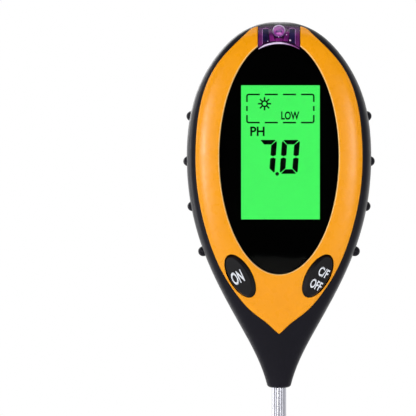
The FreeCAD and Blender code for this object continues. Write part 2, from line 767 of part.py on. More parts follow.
def make_rear_shell():
    shell = cut("RearHollowed", back_skin, skin("RearInner", "back", "wall", "wall", 1))
    socket = overlap(
        "RearSocket", back_skin, rod("RearSocketRod", (0, 0, 0), "+z", "socket_radius", "socket_length"),
    )
    columns = [
        overlap(f"Column{spot}", back_skin, rod(f"ColumnRod{spot}", (x, 0, z), "+y", "column_radius", FAR))
        for spot, x, z in screw_spots()
    ]
    bay_box = block(
        "BayBox", wide("bay_reach + bay_wall"), (0, FAR), ("bay_foot - bay_wall", "bay_top + bay_wall"),
    )
    bay = overlap("Bay", back_skin, bay_box)
    bay_front = block(
        "BayFront", wide("bay_reach + bay_wall"), ("-bay_front", 1),
        ("bay_foot - bay_wall", "bay_top + bay_wall"),
    )
    shell = join("RearBuilt", shell, socket, bay, bay_front, *columns)
    room = block("BayRoom", wide("bay_reach"), ("bay_floor", "bay_back"), ("bay_foot", "bay_top"))
    mouth = block("BayMouth", wide("bay_reach"), ("bay_back - 1", FAR), ("bay_foot", "door_top + door_gap"))
    recess, floor = bay_opening("DoorRecess", "door_gap", "door_thick + door_gap")
    recess_ring = cut("DoorRecessRing", recess, floor)
    lead_holes = [
        rod(f"LeadHole{side}", (f"{side} * lead_across", 2, "snap_foot + snap_thick / 2"), "-y", "lead_bore", 8)
        for side in (-1, 1)
    ]
    bores = []
    for spot, x, z in screw_spots():
        bores.append(rod(f"ScrewWay{spot}", (x, -2, z), "+y", "screw_radius + 0.2", 20))
        bores.append(rod(f"HeadWay{spot}", (x, "screw_seat", z), "+y", "screw_head + 0.2", FAR))
    holes = [room, mouth, recess_ring, *lead_holes, *bores]
    holes += [probe_bores("RearProbeRoom"), nose_gauge("RearNoseGauge")]
    for index, hole in enumerate(holes):
        shell = cut(f"RearHoles{index}", shell, hole)
    node("rear_shell", shell)


def make_battery_door():
    slab, floor = bay_opening("DoorSlab", "0", "door_thick")
    plate = cut("DoorPlate", slab, floor)
    hooks = []
    for side in (-1, 1):
        across = wide("hook_width / 2", f"{side} * hook_across")
        hook_front = "hook_back - hook_thick"
        hooks += [
            block(
                f"HookTab{side}", across, (hook_front, "hook_back"),
                ("door_top - hook_root", "door_top + hook_reach"),
            ),
            block(
                f"HookStem{side}", across, (hook_front, "hinge_depth - 1"),
                ("door_top - hook_root", "door_top - 0.3"),
            ),
        ]
    plate = join("DoorBuilt", plate, *hooks)
    grooves = join("DoorGrooveBars", *[
        block(
            f"DoorGroove{step}", wide("door_width / 2 - 6 - " + str(step)), (5, FAR),
            (f"door_foot + 4 + {step} * 3", f"door_foot + 4 + {step} * 3 + groove_width"),
        )
        for step in range(3)
    ])
    groove_floor = skin("DoorGrooveFloor", "back", "groove_depth", "groove_depth")
    groove_tool = cut("DoorGrooveTool", grooves, groove_floor)
    node("battery_door", cut("Door", plate, groove_tool))


# ---- display module

def make_display():
    full = wide("pane_reach", "view_shift")
    inset = wide("pane_reach - film_inset", "view_shift")
    upright = ("pane_foot", "pane_top")
    lower = ("contact_foot", "pane_top")
    node("front_glass", block("FrontGlass", full, ("pane_front", "pane_middle"), lower))
    node("rear_glass", block("RearGlass", full, ("pane_middle", "pane_back"), upright))
    film_height = ("pane_foot + film_inset", "pane_top - film_inset")
    node("front_polariser", block("FrontFilm", inset, ("film_front", "pane_front"), film_height))
    node("rear_polariser", block("RearFilm", inset, ("pane_back", "light_front"), film_height))
    panel = block("Panel", full, ("light_front", "light_back"), ("pane_foot", "pane_top - lamp_room"))
    node("backlight_panel", panel)
    lamps = [
        block(
            f"Lamp{step}", wide("lamp_width / 2", f"view_shift + {step} * lamp_pitch"),
            ("light_front + 0.3", "light_back"),
            ("pane_top - lamp_room", "pane_top"),
        )
        for step in (-1, 0, 1)
    ]
    node("backlight_lamps", group("Lamps", *lamps))
    strip = block(
        "Strip", wide("pane_reach - 0.8", "view_shift"), ("pane_middle", "board_front"),
        ("contact_foot + 0.2", "contact_foot + 0.2 + strip_thick"),
    )
    node("contact_strip", strip)
    outside = block(
        "FrameOutside", wide("pane_reach + fit_gap + frame_wall", "view_shift"),
        ("ledge_back", "board_front"),
        ("contact_foot - fit_gap - frame_wall", "pane_top + fit_gap + frame_wall"),
    )
    inside = block(
        "FrameInside", wide("pane_reach + fit_gap", "view_shift"), ("ledge_back - 1", "light_back"),
        ("contact_foot - fit_gap", "pane_top + fit_gap"),
    )
    slot = block(
        "StripSlot", wide("pane_reach - 0.6", "view_shift"), ("light_back - 1", "board_front + 1"),
        ("contact_foot", "contact_foot + 0.4 + strip_thick"),
    )
    node("display_frame", cut("Frame", outside, inside, slot))


# ---- circuit board and what it carries

def make_board():
    body = doc.addObject("PartDesign::Body", "Board")
    sketch = outline_sketch(body, "XZ_Plane", [
        ("0", "board_foot"), ("board_reach - 7", "board_foot"), ("board_reach", "key_height + 7.5"),
        ("board_reach", "screw_high - 10"), ("screw_across - boss_radius - 1.4", "screw_high - 6"),
        ("screw_across - boss_radius - 1.4", "screw_high + 8"), ("half_width * 0.38", "board_top"),
        ("0", "board_top"),
    ])
    pad = body.newObject("PartDesign::Pad", "BoardPad")
    pad.Profile = sketch
    pad.Reversed = True
    bind(pad, Length="board_thick")
    doc.recompute()
    mirror = body.newObject("PartDesign::Mirrored", "BoardMirror")
    mirror.Originals = [pad]
    mirror.MirrorPlane = (origin_plane(body, "YZ_Plane"), [""])
    body.Tip = mirror
    put(body, 0, "board_front", 0)
    holes = [
        rod(
            f"BoardHole{spot}", (x, "board_front - 1", z), "+y",
            "board_screw_radius + 0.15", "board_thick + 2",
        )
        for spot, x, z in board_screw_spots()
    ]
    node("main_board", cut("BoardDrilled", body, *holes))

    chip = block(
        "Chip", wide("chip_side / 2"), ("board_back", "board_back + chip_thick"),
        ("board_foot + chip_rise", "board_foot + chip_rise + chip_side"),
    )
    node("controller_chip", chip)
    parts = []
    for index, (x, foot, width, high, tall) in enumerate(BOARD_PARTS):
        height = (f"board_foot + {foot}", f"board_foot + {foot + high}")
        parts.append(block(f"Part{index}", wide(width / 2, x), ("board_back", f"board_back + {tall}"), height))
    node("board_parts", group("BoardParts", *parts))


def make_key(name, side):
    """A key cap, its flange and stem, with the switch behind it."""
    across, tilt, slope = f"{side} * key_across", side * number("key_tilt"), side * number("key_slope")
    lower = oval(
        f"{name}Lower", (across, "key_bevel - key_face", "key_height"),
        "key_length / 2", "key_width / 2", tilt, slope,
    )
    upper = oval(
        f"{name}Upper", (f"{side} * (key_across + key_shift)", "-key_face", "key_height"),
        "key_length / 2 - key_bevel", "key_width / 2 - key_bevel", tilt, slope,
    )
    foot = oval(f"{name}Foot", (across, "flange_front", "key_height"), "key_length / 2", "key_width / 2", tilt)
    cap = doc.addObject("Part::Loft", f"{name}Cap")
    cap.Sections = [foot, lower, upper]
    cap.Solid = True
    cap.Ruled = True
    rim = oval(
        f"{name}Rim", (across, "flange_front + flange_thick", "key_height"),
        "key_length / 2 + flange_edge", "key_width / 2 + flange_edge", tilt,
    )
    flange = pushed(f"{name}Flange", rim, "flange_thick")
    stem = rod(
        f"{name}Stem", (across, "flange_front + flange_thick - 0.2", "key_height"), "+y",
        "plunger_radius + 0.4", "plunger_front - rest_gap / 2 - flange_front - flange_thick + 0.2",
    )
    node(f"{name}_key", join(f"{name}Built", cap, flange, stem))
    base = block(
        f"{name}Base", wide("switch_side / 2", across), ("board_front - switch_height", "board_front"),
        ("key_height - switch_side / 2", "key_height + switch_side / 2"),
    )
    well = rod(f"{name}Well", (across, "board_front - 0.4", "key_height"), "-y", "plunger_radius + 0.1", 5)
    node(f"{name}_switch", cut(f"{name}Switch", base, well))
    node(f"{name}_plunger", rod(
        f"{name}Plunger", (across, "board_front - 1", "key_height"), "-y", "plunger_radius",
        "board_front - 1 - plunger_front",
    ))


def make_sensor():
    barrel = rod("EyeBarrel", (0, "eye_back", "eye_height"), "-y", "eye_radius", "eye_length - eye_radius")
    dome = doc.addObject("Part::Sphere", "EyeDome")
    bind(dome, Radius="eye_radius")
    put(dome, 0, "eye_radius - eye_front", "eye_height")
    node("light_sensor", join("Eye", barrel, dome))
    leads = [
        cord(f"EyeLead{side}", "lead_radius", [
            (f"{side} * lead_spread", "eye_back", "eye_height"),
            (f"{side} * lead_spread", "eye_back + 1.2", "eye_height"),
            (f"{side} * lead_spread", "eye_back + 1.2", "board_top - 2"),
            (f"{side} * lead_spread", "board_back", "board_top - 2"),
        ])
        for side in (-1, 1)
    ]
    node("sensor_leads", group("EyeLeads", *leads))


# ---- battery

def make_battery():
    brick = block(
        "Brick", wide("battery_width / 2"), ("battery_front", "battery_front + battery_thick"),
        ("battery_foot", "battery_top"),
    )
    doc.recompute()
    rounded = doc.addObject("Part::Fillet", "RoundedBrick")
    rounded.Base = brick
    upright = [i for i, edge in enumerate(brick.Shape.Edges, 1) if edge.BoundBox.ZLength > 1]
    rounded.Edges = [(i, number("battery_round"), number("battery_round")) for i in upright]
    node("battery", rounded)

    def pole(name, side, radius, rise, tall="terminal_height"):
        spot = (f"{side} * terminal_spread", "battery_middle", f"battery_top + {rise}")
        return rod(name, spot, "+z", radius, f"{tall} - ({rise})")

    socket = cut(
        "Socket", pole("SocketWall", 1, "socket_outer", 0),
        pole("SocketRoom", 1, "socket_inner", "socket_floor", FAR),
    )
    node("battery_terminals", group("Terminals", pole("StudPost", -1, "stud_pole", 0), socket))

    snap_front = "battery_middle - snap_depth / 2"
    plate = block(
        "SnapPlate", wide("snap_width / 2"), (snap_front, "battery_middle + snap_depth / 2"),
        ("snap_foot", "snap_foot + snap_thick"),
    )
    node("battery_clip", plate)
    cup = cut(
        "Cup", pole("CupWall", -1, "stud_pole + 0.8", 0.3),
        pole("CupRoom", -1, "stud_pole + 0.1", 0, FAR),
    )
    pin = pole("ClipPin", 1, "socket_inner - 0.2", "socket_floor + 0.2")
    node("clip_contacts", group("ClipContacts", cup, pin))
    for name, side in (("red_battery_lead", 1), ("black_battery_lead", -1)):
        node(name, rod(
            f"{name}Wire", (f"{side} * lead_across", snap_front, "snap_foot + snap_thick / 2"), "-y",
            "wire_radius", f"{snap_front} - board_back",
        ))


# ---- screws

def make_screws():
    screws = [
        turned(f"CaseScrew{spot}", (x, "screw_seat + screw_head_height", z), "-y", [
            ("0", "0"), ("screw_head", "0"), ("screw_head", "screw_head_height"),
            ("screw_radius", "screw_head_height"),
            ("screw_radius", "screw_head_height + screw_seat + screw_grip - 1"),
            ("0", "screw_head_height + screw_seat + screw_grip"),
        ])
        for spot, x, z in screw_spots()
    ]
    node("case_screws", group("CaseScrews", *screws))
    small = [
        turned(f"BoardScrew{spot}", (x, "board_back + 1", z), "-y", [
            ("0", "0"), ("board_screw_head", "0"), ("board_screw_head", "1"), ("board_screw_radius", "1"),
            ("board_screw_radius", "board_thick + 4"), ("0", "board_thick + 4.6"),
        ])
        for spot, x, z in board_screw_spots()
    ]
    node("board_screws", group("BoardScrews", *small))


# ---- probe

def make_probe():
    node("probe_tube", turned("Tube", (0, 0, "-tube_length"), "+z", [
        ("bore_radius", "0"), ("probe_radius", "0"), ("probe_radius", "tube_length"),
        ("root_radius", "tube_length"), ("root_radius", "tube_length + root_length"),
        ("bore_radius", "tube_length + root_length"),
    ]))
    node("probe_ring", turned("Ring", (0, 0, "-tube_length - ring_length - spigot_length"), "+z", [
        ("wire_radius + 0.1", "0"), ("bore_radius - screw_gap", "0"),
        ("bore_radius - screw_gap", "spigot_length"),
        ("probe_radius", "spigot_length"), ("probe_radius", "spigot_length + ring_length"),
        ("bore_radius - screw_gap", "spigot_length + ring_length"),
        ("bore_radius - screw_gap", "2 * spigot_length + ring_length"),
        ("wire_radius + 0.1", "2 * spigot_length + ring_length"),
    ]))
    node("probe_tip", turned("Tip", (0, 0, "-tube_length - ring_length"), "-z", [
        ("bore_radius", "0"), ("probe_radius", "0"), ("probe_radius", "tip_length - point_length"),
        ("point_radius", "tip_length - 0.3"), ("point_radius - 0.25", "tip_length"), ("0", "tip_length"),
        ("0", "spigot_length + 0.5"), ("bore_radius", "spigot_length + 0.5"),
    ]))
    node("probe_collar", turned("Collar", (0, 0, "collar_foot"), "+z", [
        ("root_radius + screw_gap / 2", "0"), ("collar_radius", "0"), ("collar_radius", "collar_length"),
        ("root_radius + screw_gap / 2", "collar_length"),
    ]))
    node("tip_lead", cord("TipLead", "wire_radius", [
        ("0", "0", "-tube_length - ring_length - spigot_length - 0.5"),
        ("0", "0", "root_length + 0.8"),
        ("-column_radius - 2.2", "-1.5", "root_length + 6.5"),
        ("-column_radius - 2.2", "board_back + wire_radius", "board_foot + 3"),
    ]))
    node("tube_lead", cord("TubeLead", "wire_radius", [
        ("root_radius + wire_radius", "0", "socket_length + 0.2"),
        ("root_radius + wire_radius", "0", "root_length + 1.5"),
        ("column_radius + 2.2", "-1.5", "root_length + 6.5"),
        ("column_radius + 2.2", "board_back + wire_radius", "board_foot + 3"),
    ]))


make_bezel()
make_window()
make_lens()
make_front_shell()
make_rear_shell()
make_battery_door()
make_display()
make_board()
make_key("on", -1)
make_key("off", 1)
make_sensor()
make_battery()
make_screws()
make_probe()
doc.recompute()

for thing in doc.Objects:
    if {"Invalid", "Error"} & set(thing.State):
        raise SystemExit(f"{thing.Label} failed: {thing.State}")
os.makedirs("parts", exist_ok=True)
for name, thing in nodes.items():
    shape = thing.Shape
    if shape.isNull() or not shape.isValid() or not shape.Solids:
        raise SystemExit(f"{name} has no valid solid")
    shape.exportStep(f"parts/{name}.step")
    print(f"{name}: {len(shape.Solids)} solid(s), {shape.Volume:.1f} mm3")
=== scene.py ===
import json
import math
import bmesh
import bpy
from mathutils import Matrix, Vector
from mathutils.bvhtree import BVHTree

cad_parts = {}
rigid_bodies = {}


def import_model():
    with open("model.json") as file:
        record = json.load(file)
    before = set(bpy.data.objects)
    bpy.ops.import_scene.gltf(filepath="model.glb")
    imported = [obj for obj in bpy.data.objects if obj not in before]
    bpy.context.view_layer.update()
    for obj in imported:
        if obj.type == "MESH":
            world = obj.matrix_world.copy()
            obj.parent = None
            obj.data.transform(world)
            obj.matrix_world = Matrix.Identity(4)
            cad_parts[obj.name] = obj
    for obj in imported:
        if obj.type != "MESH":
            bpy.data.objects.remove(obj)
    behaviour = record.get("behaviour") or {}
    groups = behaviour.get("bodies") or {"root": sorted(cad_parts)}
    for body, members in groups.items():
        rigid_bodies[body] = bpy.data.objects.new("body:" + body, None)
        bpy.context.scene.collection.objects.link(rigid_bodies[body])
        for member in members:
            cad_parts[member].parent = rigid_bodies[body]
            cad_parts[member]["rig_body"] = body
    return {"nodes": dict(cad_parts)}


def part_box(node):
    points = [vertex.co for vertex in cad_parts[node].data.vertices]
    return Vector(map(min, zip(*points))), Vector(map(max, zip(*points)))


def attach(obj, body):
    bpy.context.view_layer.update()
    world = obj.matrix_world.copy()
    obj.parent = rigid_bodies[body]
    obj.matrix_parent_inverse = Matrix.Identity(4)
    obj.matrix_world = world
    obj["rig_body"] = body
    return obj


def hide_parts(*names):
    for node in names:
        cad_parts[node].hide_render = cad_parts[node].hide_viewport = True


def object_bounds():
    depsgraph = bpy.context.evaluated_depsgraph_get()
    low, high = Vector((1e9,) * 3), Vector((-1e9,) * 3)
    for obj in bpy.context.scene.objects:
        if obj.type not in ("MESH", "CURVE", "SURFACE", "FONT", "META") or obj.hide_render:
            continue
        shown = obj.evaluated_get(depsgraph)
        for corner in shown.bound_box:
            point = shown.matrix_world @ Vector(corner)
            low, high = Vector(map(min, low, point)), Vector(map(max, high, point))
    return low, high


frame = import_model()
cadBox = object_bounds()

mm = 0.001
scene = bpy.context.scene
nodes = frame["nodes"]


def linkObject(name, data):
    obj = bpy.data.objects.new(name, data)
    scene.collection.objects.link(obj)
    return obj


def meshObject(name, bm, material=None, smooth=False, sharpAngle=35):
    bmesh.ops.recalc_face_normals(bm, faces=bm.faces)
    mesh = bpy.data.meshes.new(name)
    bm.to_mesh(mesh)
    bm.free()
    if smooth:
        mesh.shade_smooth()
        mesh.set_sharp_from_angle(angle=math.radians(sharpAngle))
    obj = linkObject(name, mesh)
    if material:
        mesh.materials.append(material)
    return obj


def bodyOf(nodeName):
    return nodes[nodeName]["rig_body"]


def finishPiece(obj, body):
    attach(obj, body)
    return obj


def applyModifiers(obj):  # leaves the evaluated result as a plain mesh
    depsgraph = bpy.context.evaluated_depsgraph_get()
    mesh = bpy.data.meshes.new_from_object(obj.evaluated_get(depsgraph))
    obj.modifiers.clear()
    obj.data = mesh
    return obj


def refined(nodeName, pieceName, material, sharpAngle=32, weld=0.002 * mm):
    mesh = nodes[nodeName].data.copy()
    mesh.name = pieceName
    if mesh.has_custom_normals:
        mesh.attributes.remove(mesh.attributes["custom_normal"])
    bm = bmesh.new()
    bm.from_mesh(mesh)
    bmesh.ops.remove_doubles(bm, verts=bm.verts, dist=weld)
    bmesh.ops.dissolve_degenerate(bm, edges=bm.edges, dist=weld)
    bm.to_mesh(mesh)
    bm.free()
    mesh.shade_smooth()
    mesh.set_sharp_from_angle(angle=math.radians(sharpAngle))
    mesh.materials.clear()
    mesh.materials.append(material)
    obj = linkObject(pieceName, mesh)
    weighted = obj.modifiers.new("Weighted", "WEIGHTED_NORMAL")
    weighted.keep_sharp = True
    finishPiece(obj, bodyOf(nodeName))
    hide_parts(nodeName)
    return obj


def shaderOf(material):
    return material.node_tree.nodes["Principled BSDF"]


def newMaterial(name, color, roughness, **sockets):
    material = bpy.data.materials.new(name)
    material.use_nodes = True
    shader = shaderOf(material)
    shader.inputs["Base Color"].default_value = (*color, 1)
    shader.inputs["Roughness"].default_value = roughness
    for socket, value in sockets.items():
        shader.inputs[socket.replace("_", " ")].default_value = value
    return material


def addNode(material, kind, **settings):
    node = material.node_tree.nodes.new(kind)
    for key, value in settings.items():
        setattr(node, key, value)
    return node


def join(material, start, end):
    material.node_tree.links.new(start, end)


def objectNoise(material, scale, detail=3.0, stretch=(1, 1, 1)):
    place = addNode(material, "ShaderNodeTexCoord")
    mapping = addNode(material, "ShaderNodeMapping")
    mapping.inputs["Scale"].default_value = stretch
    noise = addNode(material, "ShaderNodeTexNoise")
    noise.inputs["Scale"].default_value = scale
    noise.inputs["Detail"].default_value = detail
    join(material, place.outputs["Object"], mapping.inputs["Vector"])
    join(material, mapping.outputs["Vector"], noise.inputs["Vector"])
    return noise


def addGrain(material, scale, depth, strength=0.3, detail=3.0, stretch=(1, 1, 1)):  # depth in metres
    noise = objectNoise(material, scale, detail, stretch)
    bump = addNode(material, "ShaderNodeBump")
    bump.inputs["Strength"].default_value = strength
    bump.inputs["Distance"].default_value = depth
    join(material, noise.outputs["Fac"], bump.inputs["Height"])
    join(material, bump.outputs["Normal"], shaderOf(material).inputs["Normal"])


def addMottle(material, socket, low, high, scale, detail=2.0, stretch=(1, 1, 1)):
    noise = objectNoise(material, scale, detail, stretch)
    shader = shaderOf(material)
    if socket == "Base Color":
        ramp = addNode(material, "ShaderNodeValToRGB")
        ramp.color_ramp.elements[0].position = 0.3
        ramp.color_ramp.elements[1].position = 0.7
        ramp.color_ramp.elements[0].color = (*low, 1)
        ramp.color_ramp.elements[1].color = (*high, 1)
        join(material, noise.outputs["Fac"], ramp.inputs["Fac"])
        join(material, ramp.outputs["Color"], shader.inputs[socket])
    else:
        spread = addNode(material, "ShaderNodeMapRange")
        spread.inputs["From Min"].default_value = 0.3
        spread.inputs["From Max"].default_value = 0.7
        spread.inputs["To Min"].default_value = low
        spread.inputs["To Max"].default_value = high
        join(material, noise.outputs["Fac"], spread.inputs["Value"])
        join(material, spread.outputs["Result"], shader.inputs[socket])


def makeCaseBlack():
    material = newMaterial("caseBlack", (0.0045, 0.0039, 0.0085), 0.32, Specular_IOR_Level=0.14)
    addMottle(material, "Base Color", (0.0038, 0.0033, 0.0072), (0.0055, 0.0047, 0.0098), 60)
    addMottle(material, "Roughness", 0.32, 0.4, 350)
    addGrain(material, 4200, 0.03 * mm, 0.35)
    return material


def makeBezelAmber():
    material = newMaterial("bezelAmber", (0.9, 0.335, 0.002), 0.27, Specular_IOR_Level=0.3)
    addMottle(material, "Base Color", (0.885, 0.325, 0.001), (0.91, 0.345, 0.003), 45)
    addMottle(material, "Roughness", 0.25, 0.31, 300)
    addGrain(material, 3500, 0.02 * mm, 0.25)
    return material


def makeKeyBlack():
    material = newMaterial("keyBlack", (0.0045, 0.0042, 0.0052), 0.3, Specular_IOR_Level=0.14)
    addMottle(material, "Base Color", (0.0038, 0.0035, 0.0045), (0.0055, 0.0050, 0.0062), 90)
    addMottle(material, "Roughness", 0.28, 0.36, 500)
    addGrain(material, 6000, 0.015 * mm, 0.3)
    return material


def makeWindowClear():
    material = newMaterial(
        "windowClear", (1, 1, 1), 0.02, IOR=1.2, Specular_IOR_Level=0.25, Transmission_Weight=1.0,
    )
    addMottle(material, "Roughness", 0.01, 0.03, 150)
    return material


def makeFlat(name, color, roughness, grainScale=2500, depth=0.01 * mm, spread=0.05, **sockets):
    material = newMaterial(name, color, roughness, **sockets)
    low, high = max(0.02, roughness - spread), min(1, roughness + spread)
    addMottle(material, "Roughness", low, high, grainScale / 4)
    addGrain(material, grainScale, depth, 0.2)
    return material


def makeLitGreen():
    material = newMaterial("litGreen", (0.0, 0.0, 0.0), 0.5, Emission_Strength=1.0)
    noise = objectNoise(material, 90, 1.0)
    ramp = addNode(material, "ShaderNodeValToRGB")
    ramp.color_ramp.elements[0].color = (0.054, 0.90, 0.114, 1)
    ramp.color_ramp.elements[1].color = (0.060, 0.95, 0.122, 1)
    join(material, noise.outputs["Fac"], ramp.inputs["Fac"])
    shader = shaderOf(material)
    join(material, ramp.outputs["Color"], shader.inputs["Emission Color"])
    shader.inputs["Specular IOR Level"].default_value = 0.1
    return material


def makeSensorPurple():
    material = newMaterial("sensorPurple", (0.30, 0.055, 0.36), 0.06, IOR=1.45, Transmission_Weight=0.92)
    addMottle(material, "Roughness", 0.04, 0.12, 400)
    addGrain(material, 1500, 0.02 * mm, 0.15)
    return material


def makeBrushedSteel(name, color, roughness=0.26):
    material = newMaterial(name, color, roughness, Metallic=1.0)
    addMottle(material, "Roughness", roughness - 0.07, roughness + 0.09, 900, stretch=(1, 1, 0.02))
    addGrain(material, 2600, 0.004 * mm, 0.25, stretch=(1, 1, 0.015))
    return material


def makeBoardGreen():
    material = newMaterial("boardGreen", (0.01, 0.12, 0.03), 0.32)
    place = addNode(material, "ShaderNodeTexCoord")
    tracks = addNode(material, "ShaderNodeTexBrick", offset=0.5, squash=1.0)
    tracks.inputs["Scale"].default_value = 260
    tracks.inputs["Mortar Size"].default_value = 0.03
    tracks.inputs["Color1"].default_value = (0.008, 0.10, 0.025, 1)
    tracks.inputs["Color2"].default_value = (0.010, 0.13, 0.032, 1)
    tracks.inputs["Mortar"].default_value = (0.03, 0.26, 0.07, 1)
    turn = addNode(material, "ShaderNodeMapping")
    turn.inputs["Rotation"].default_value = (math.pi / 2, 0, 0)
    join(material, place.outputs["Object"], turn.inputs["Vector"])
    join(material, turn.outputs["Vector"], tracks.inputs["Vector"])
    join(material, tracks.outputs["Color"], shaderOf(material).inputs["Base Color"])
    addGrain(material, 1800, 0.02 * mm, 0.2)
    return material


def makeBatteryJacket():
    material = newMaterial("batteryJacket", (0.02, 0.02, 0.022), 0.3, Metallic=0.4)
    place = addNode(material, "ShaderNodeTexCoord")
    split = addNode(material, "ShaderNodeSeparateXYZ")
    bands = addNode(material, "ShaderNodeValToRGB")
    bands.color_ramp.interpolation = "CONSTANT"
    bands.color_ramp.elements[0].color = (0.55, 0.24, 0.07, 1)
    bands.color_ramp.elements[1].color = (0.02, 0.02, 0.023, 1)
    bands.color_ramp.elements[1].position = 0.3
    rise = addNode(material, "ShaderNodeMapRange")
    low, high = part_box("battery")
    rise.inputs["From Min"].default_value = low.z
    rise.inputs["From Max"].default_value = high.z
    join(material, place.outputs["Object"], split.inputs["Vector"])
    join(material, split.outputs["Z"], rise.inputs["Value"])
    join(material, rise.outputs["Result"], bands.inputs["Fac"])
    join(material, bands.outputs["Color"], shaderOf(material).inputs["Base Color"])
    addGrain(material, 900, 0.02 * mm, 0.15)
    return material


def makeContactBands():
    material = newMaterial("contactRubber", (0.6, 0.35, 0.35), 0.6)
    place = addNode(material, "ShaderNodeTexCoord")
    bands = addNode(material, "ShaderNodeTexWave", bands_direction="X")
    bands.inputs["Scale"].default_value = 1500
    ramp = addNode(material, "ShaderNodeValToRGB")
    ramp.color_ramp.elements[0].color = (0.03, 0.03, 0.03, 1)
    ramp.color_ramp.elements[1].color = (0.62, 0.36, 0.36, 1)
    join(material, place.outputs["Object"], bands.inputs["Vector"])
    join(material, bands.outputs["Fac"], ramp.inputs["Fac"])
    join(material, ramp.outputs["Color"], shaderOf(material).inputs["Base Color"])
    return material


caseBlack = makeCaseBlack()
bezelAmber = makeBezelAmber()
# painted highlight on the bezel's inner rounding beside the window
bezelLipHighlight = makeFlat("bezelLipHighlight", (0.98, 0.60, 0.20), 0.3, Specular_IOR_Level=0.5)
keyBlack = makeKeyBlack()
windowClear = makeWindowClear()
litGreen = makeLitGreen()
sensorPurple = makeSensorPurple()
probeSteel = makeBrushedSteel("probeSteel", (0.50, 0.50, 0.55))
tipMetal = makeBrushedSteel("tipMetal", (0.66, 0.66, 0.68), 0.34)
nickel = makeBrushedSteel("nickelPlate", (0.7, 0.68, 0.62), 0.3)
screwZinc = makeBrushedSteel("screwZinc", (0.62, 0.62, 0.64), 0.35)
brass = makeBrushedSteel("collarBrass", (0.72, 0.5, 0.2), 0.32)
boardGreen = makeBoardGreen()
batteryJacket = makeBatteryJacket()
contactRubber = makeContactBands()
printBlack = makeFlat("printBlack", (0.0012, 0.0012, 0.0014), 0.5, Specular_IOR_Level=0.1)
segmentDark = makeFlat("segmentDark", (0.0006, 0.0012, 0.0008), 0.6, Specular_IOR_Level=0.02)
legendWhite = makeFlat("legendWhite", (0.78, 0.81, 0.87), 0.45, depth=0.004 * mm)
paneClear = makeFlat("paneClear", (0.85, 0.95, 0.9), 0.05, spread=0.02, Transmission_Weight=0.9)
panelGreen = makeFlat("panelGreen", (0.05, 0.6, 0.09), 0.35)
frameWhite = makeFlat("frameWhite", (0.78, 0.78, 0.74), 0.45)
moulded = makeFlat("mouldedBlack", (0.015, 0.015, 0.016), 0.5, 3000, 0.02 * mm)
vinyl = makeFlat("clipVinyl", (0.02, 0.02, 0.02), 0.42, 900, 0.05 * mm)
redWire = makeFlat("redWire", (0.5, 0.015, 0.012), 0.4)
blackWire = makeFlat("blackWire", (0.012, 0.012, 0.013), 0.4)
sensorEpoxy = makeFlat("sensorEpoxy", (0.75, 0.55, 0.8), 0.06, spread=0.02, Transmission_Weight=0.55)
print("materials made")


carriedOver = {
    "window_mask": printBlack,
    "front_glass": paneClear,
    "rear_glass": paneClear,
    "front_polariser": litGreen,
    "rear_polariser": paneClear,
    "backlight_panel": panelGreen,
    "backlight_lamps": frameWhite,
    "contact_strip": contactRubber,
    "display_frame": frameWhite,
    "main_board": boardGreen,
    "controller_chip": moulded,
    "board_parts": moulded,
    "on_switch": moulded,
    "off_switch": moulded,
    "on_plunger": moulded,
    "off_plunger": moulded,
    "light_sensor": sensorEpoxy,
    "sensor_leads": nickel,
    "battery": batteryJacket,
    "battery_terminals": nickel,
    "battery_clip": vinyl,
    "clip_contacts": nickel,
    "red_battery_lead": redWire,
    "black_battery_lead": blackWire,
    "board_screws": screwZinc,
    "probe_collar": brass,
    "tip_lead": redWire,
    "tube_lead": blackWire,
}
for nodeName, material in carriedOver.items():
    slots = nodes[nodeName].data.materials
    slots.clear()
    slots.append(material)
print("inner nodes dressed")


refined("front_shell", "frontShellSkin", caseBlack)
refined("rear_shell", "rearShellSkin", caseBlack)
refined("battery_door", "batteryDoorSkin", caseBlack)
bezelSkin = refined("bezel", "bezelSkin", bezelAmber)


def paintLipHighlight(obj, material, nodeName, reach):  # painted highlight: a paler amber on the rounding beside the window
    mesh = obj.data
    mesh.materials.append(material)
    low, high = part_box(nodeName)
    middle = (low + high) / 2
    window = bmesh.new()
    window.from_mesh(nodes[nodeName].data)
    tree = BVHTree.FromBMesh(window)
    for face in mesh.polygons:
        inwards = (middle - face.center).dot(Vector((face.normal.x, 0, face.normal.z)))
        if -0.97 < face.normal.y < -0.15 and inwards > 0 and tree.find_nearest(face.center)[3] < reach:
            face.material_index = 1
    window.free()


paintLipHighlight(bezelSkin, bezelLipHighlight, "display_window", 1.0 * mm)
refined("display_window", "windowSkin", windowClear)
coverSkin = refined("sensor_cover", "sensorCoverSkin", sensorPurple)
onKeySkin = refined("on_key", "onKeySkin", keyBlack)
offKeySkin = refined("off_key", "offKeySkin", keyBlack)
refined("probe_tube", "probeTubeSkin", probeSteel)
refined("probe_ring", "probeRingSkin", moulded)
refined("probe_tip", "probeTipSkin", tipMetal)
print("case, bezel, window and probe refined")


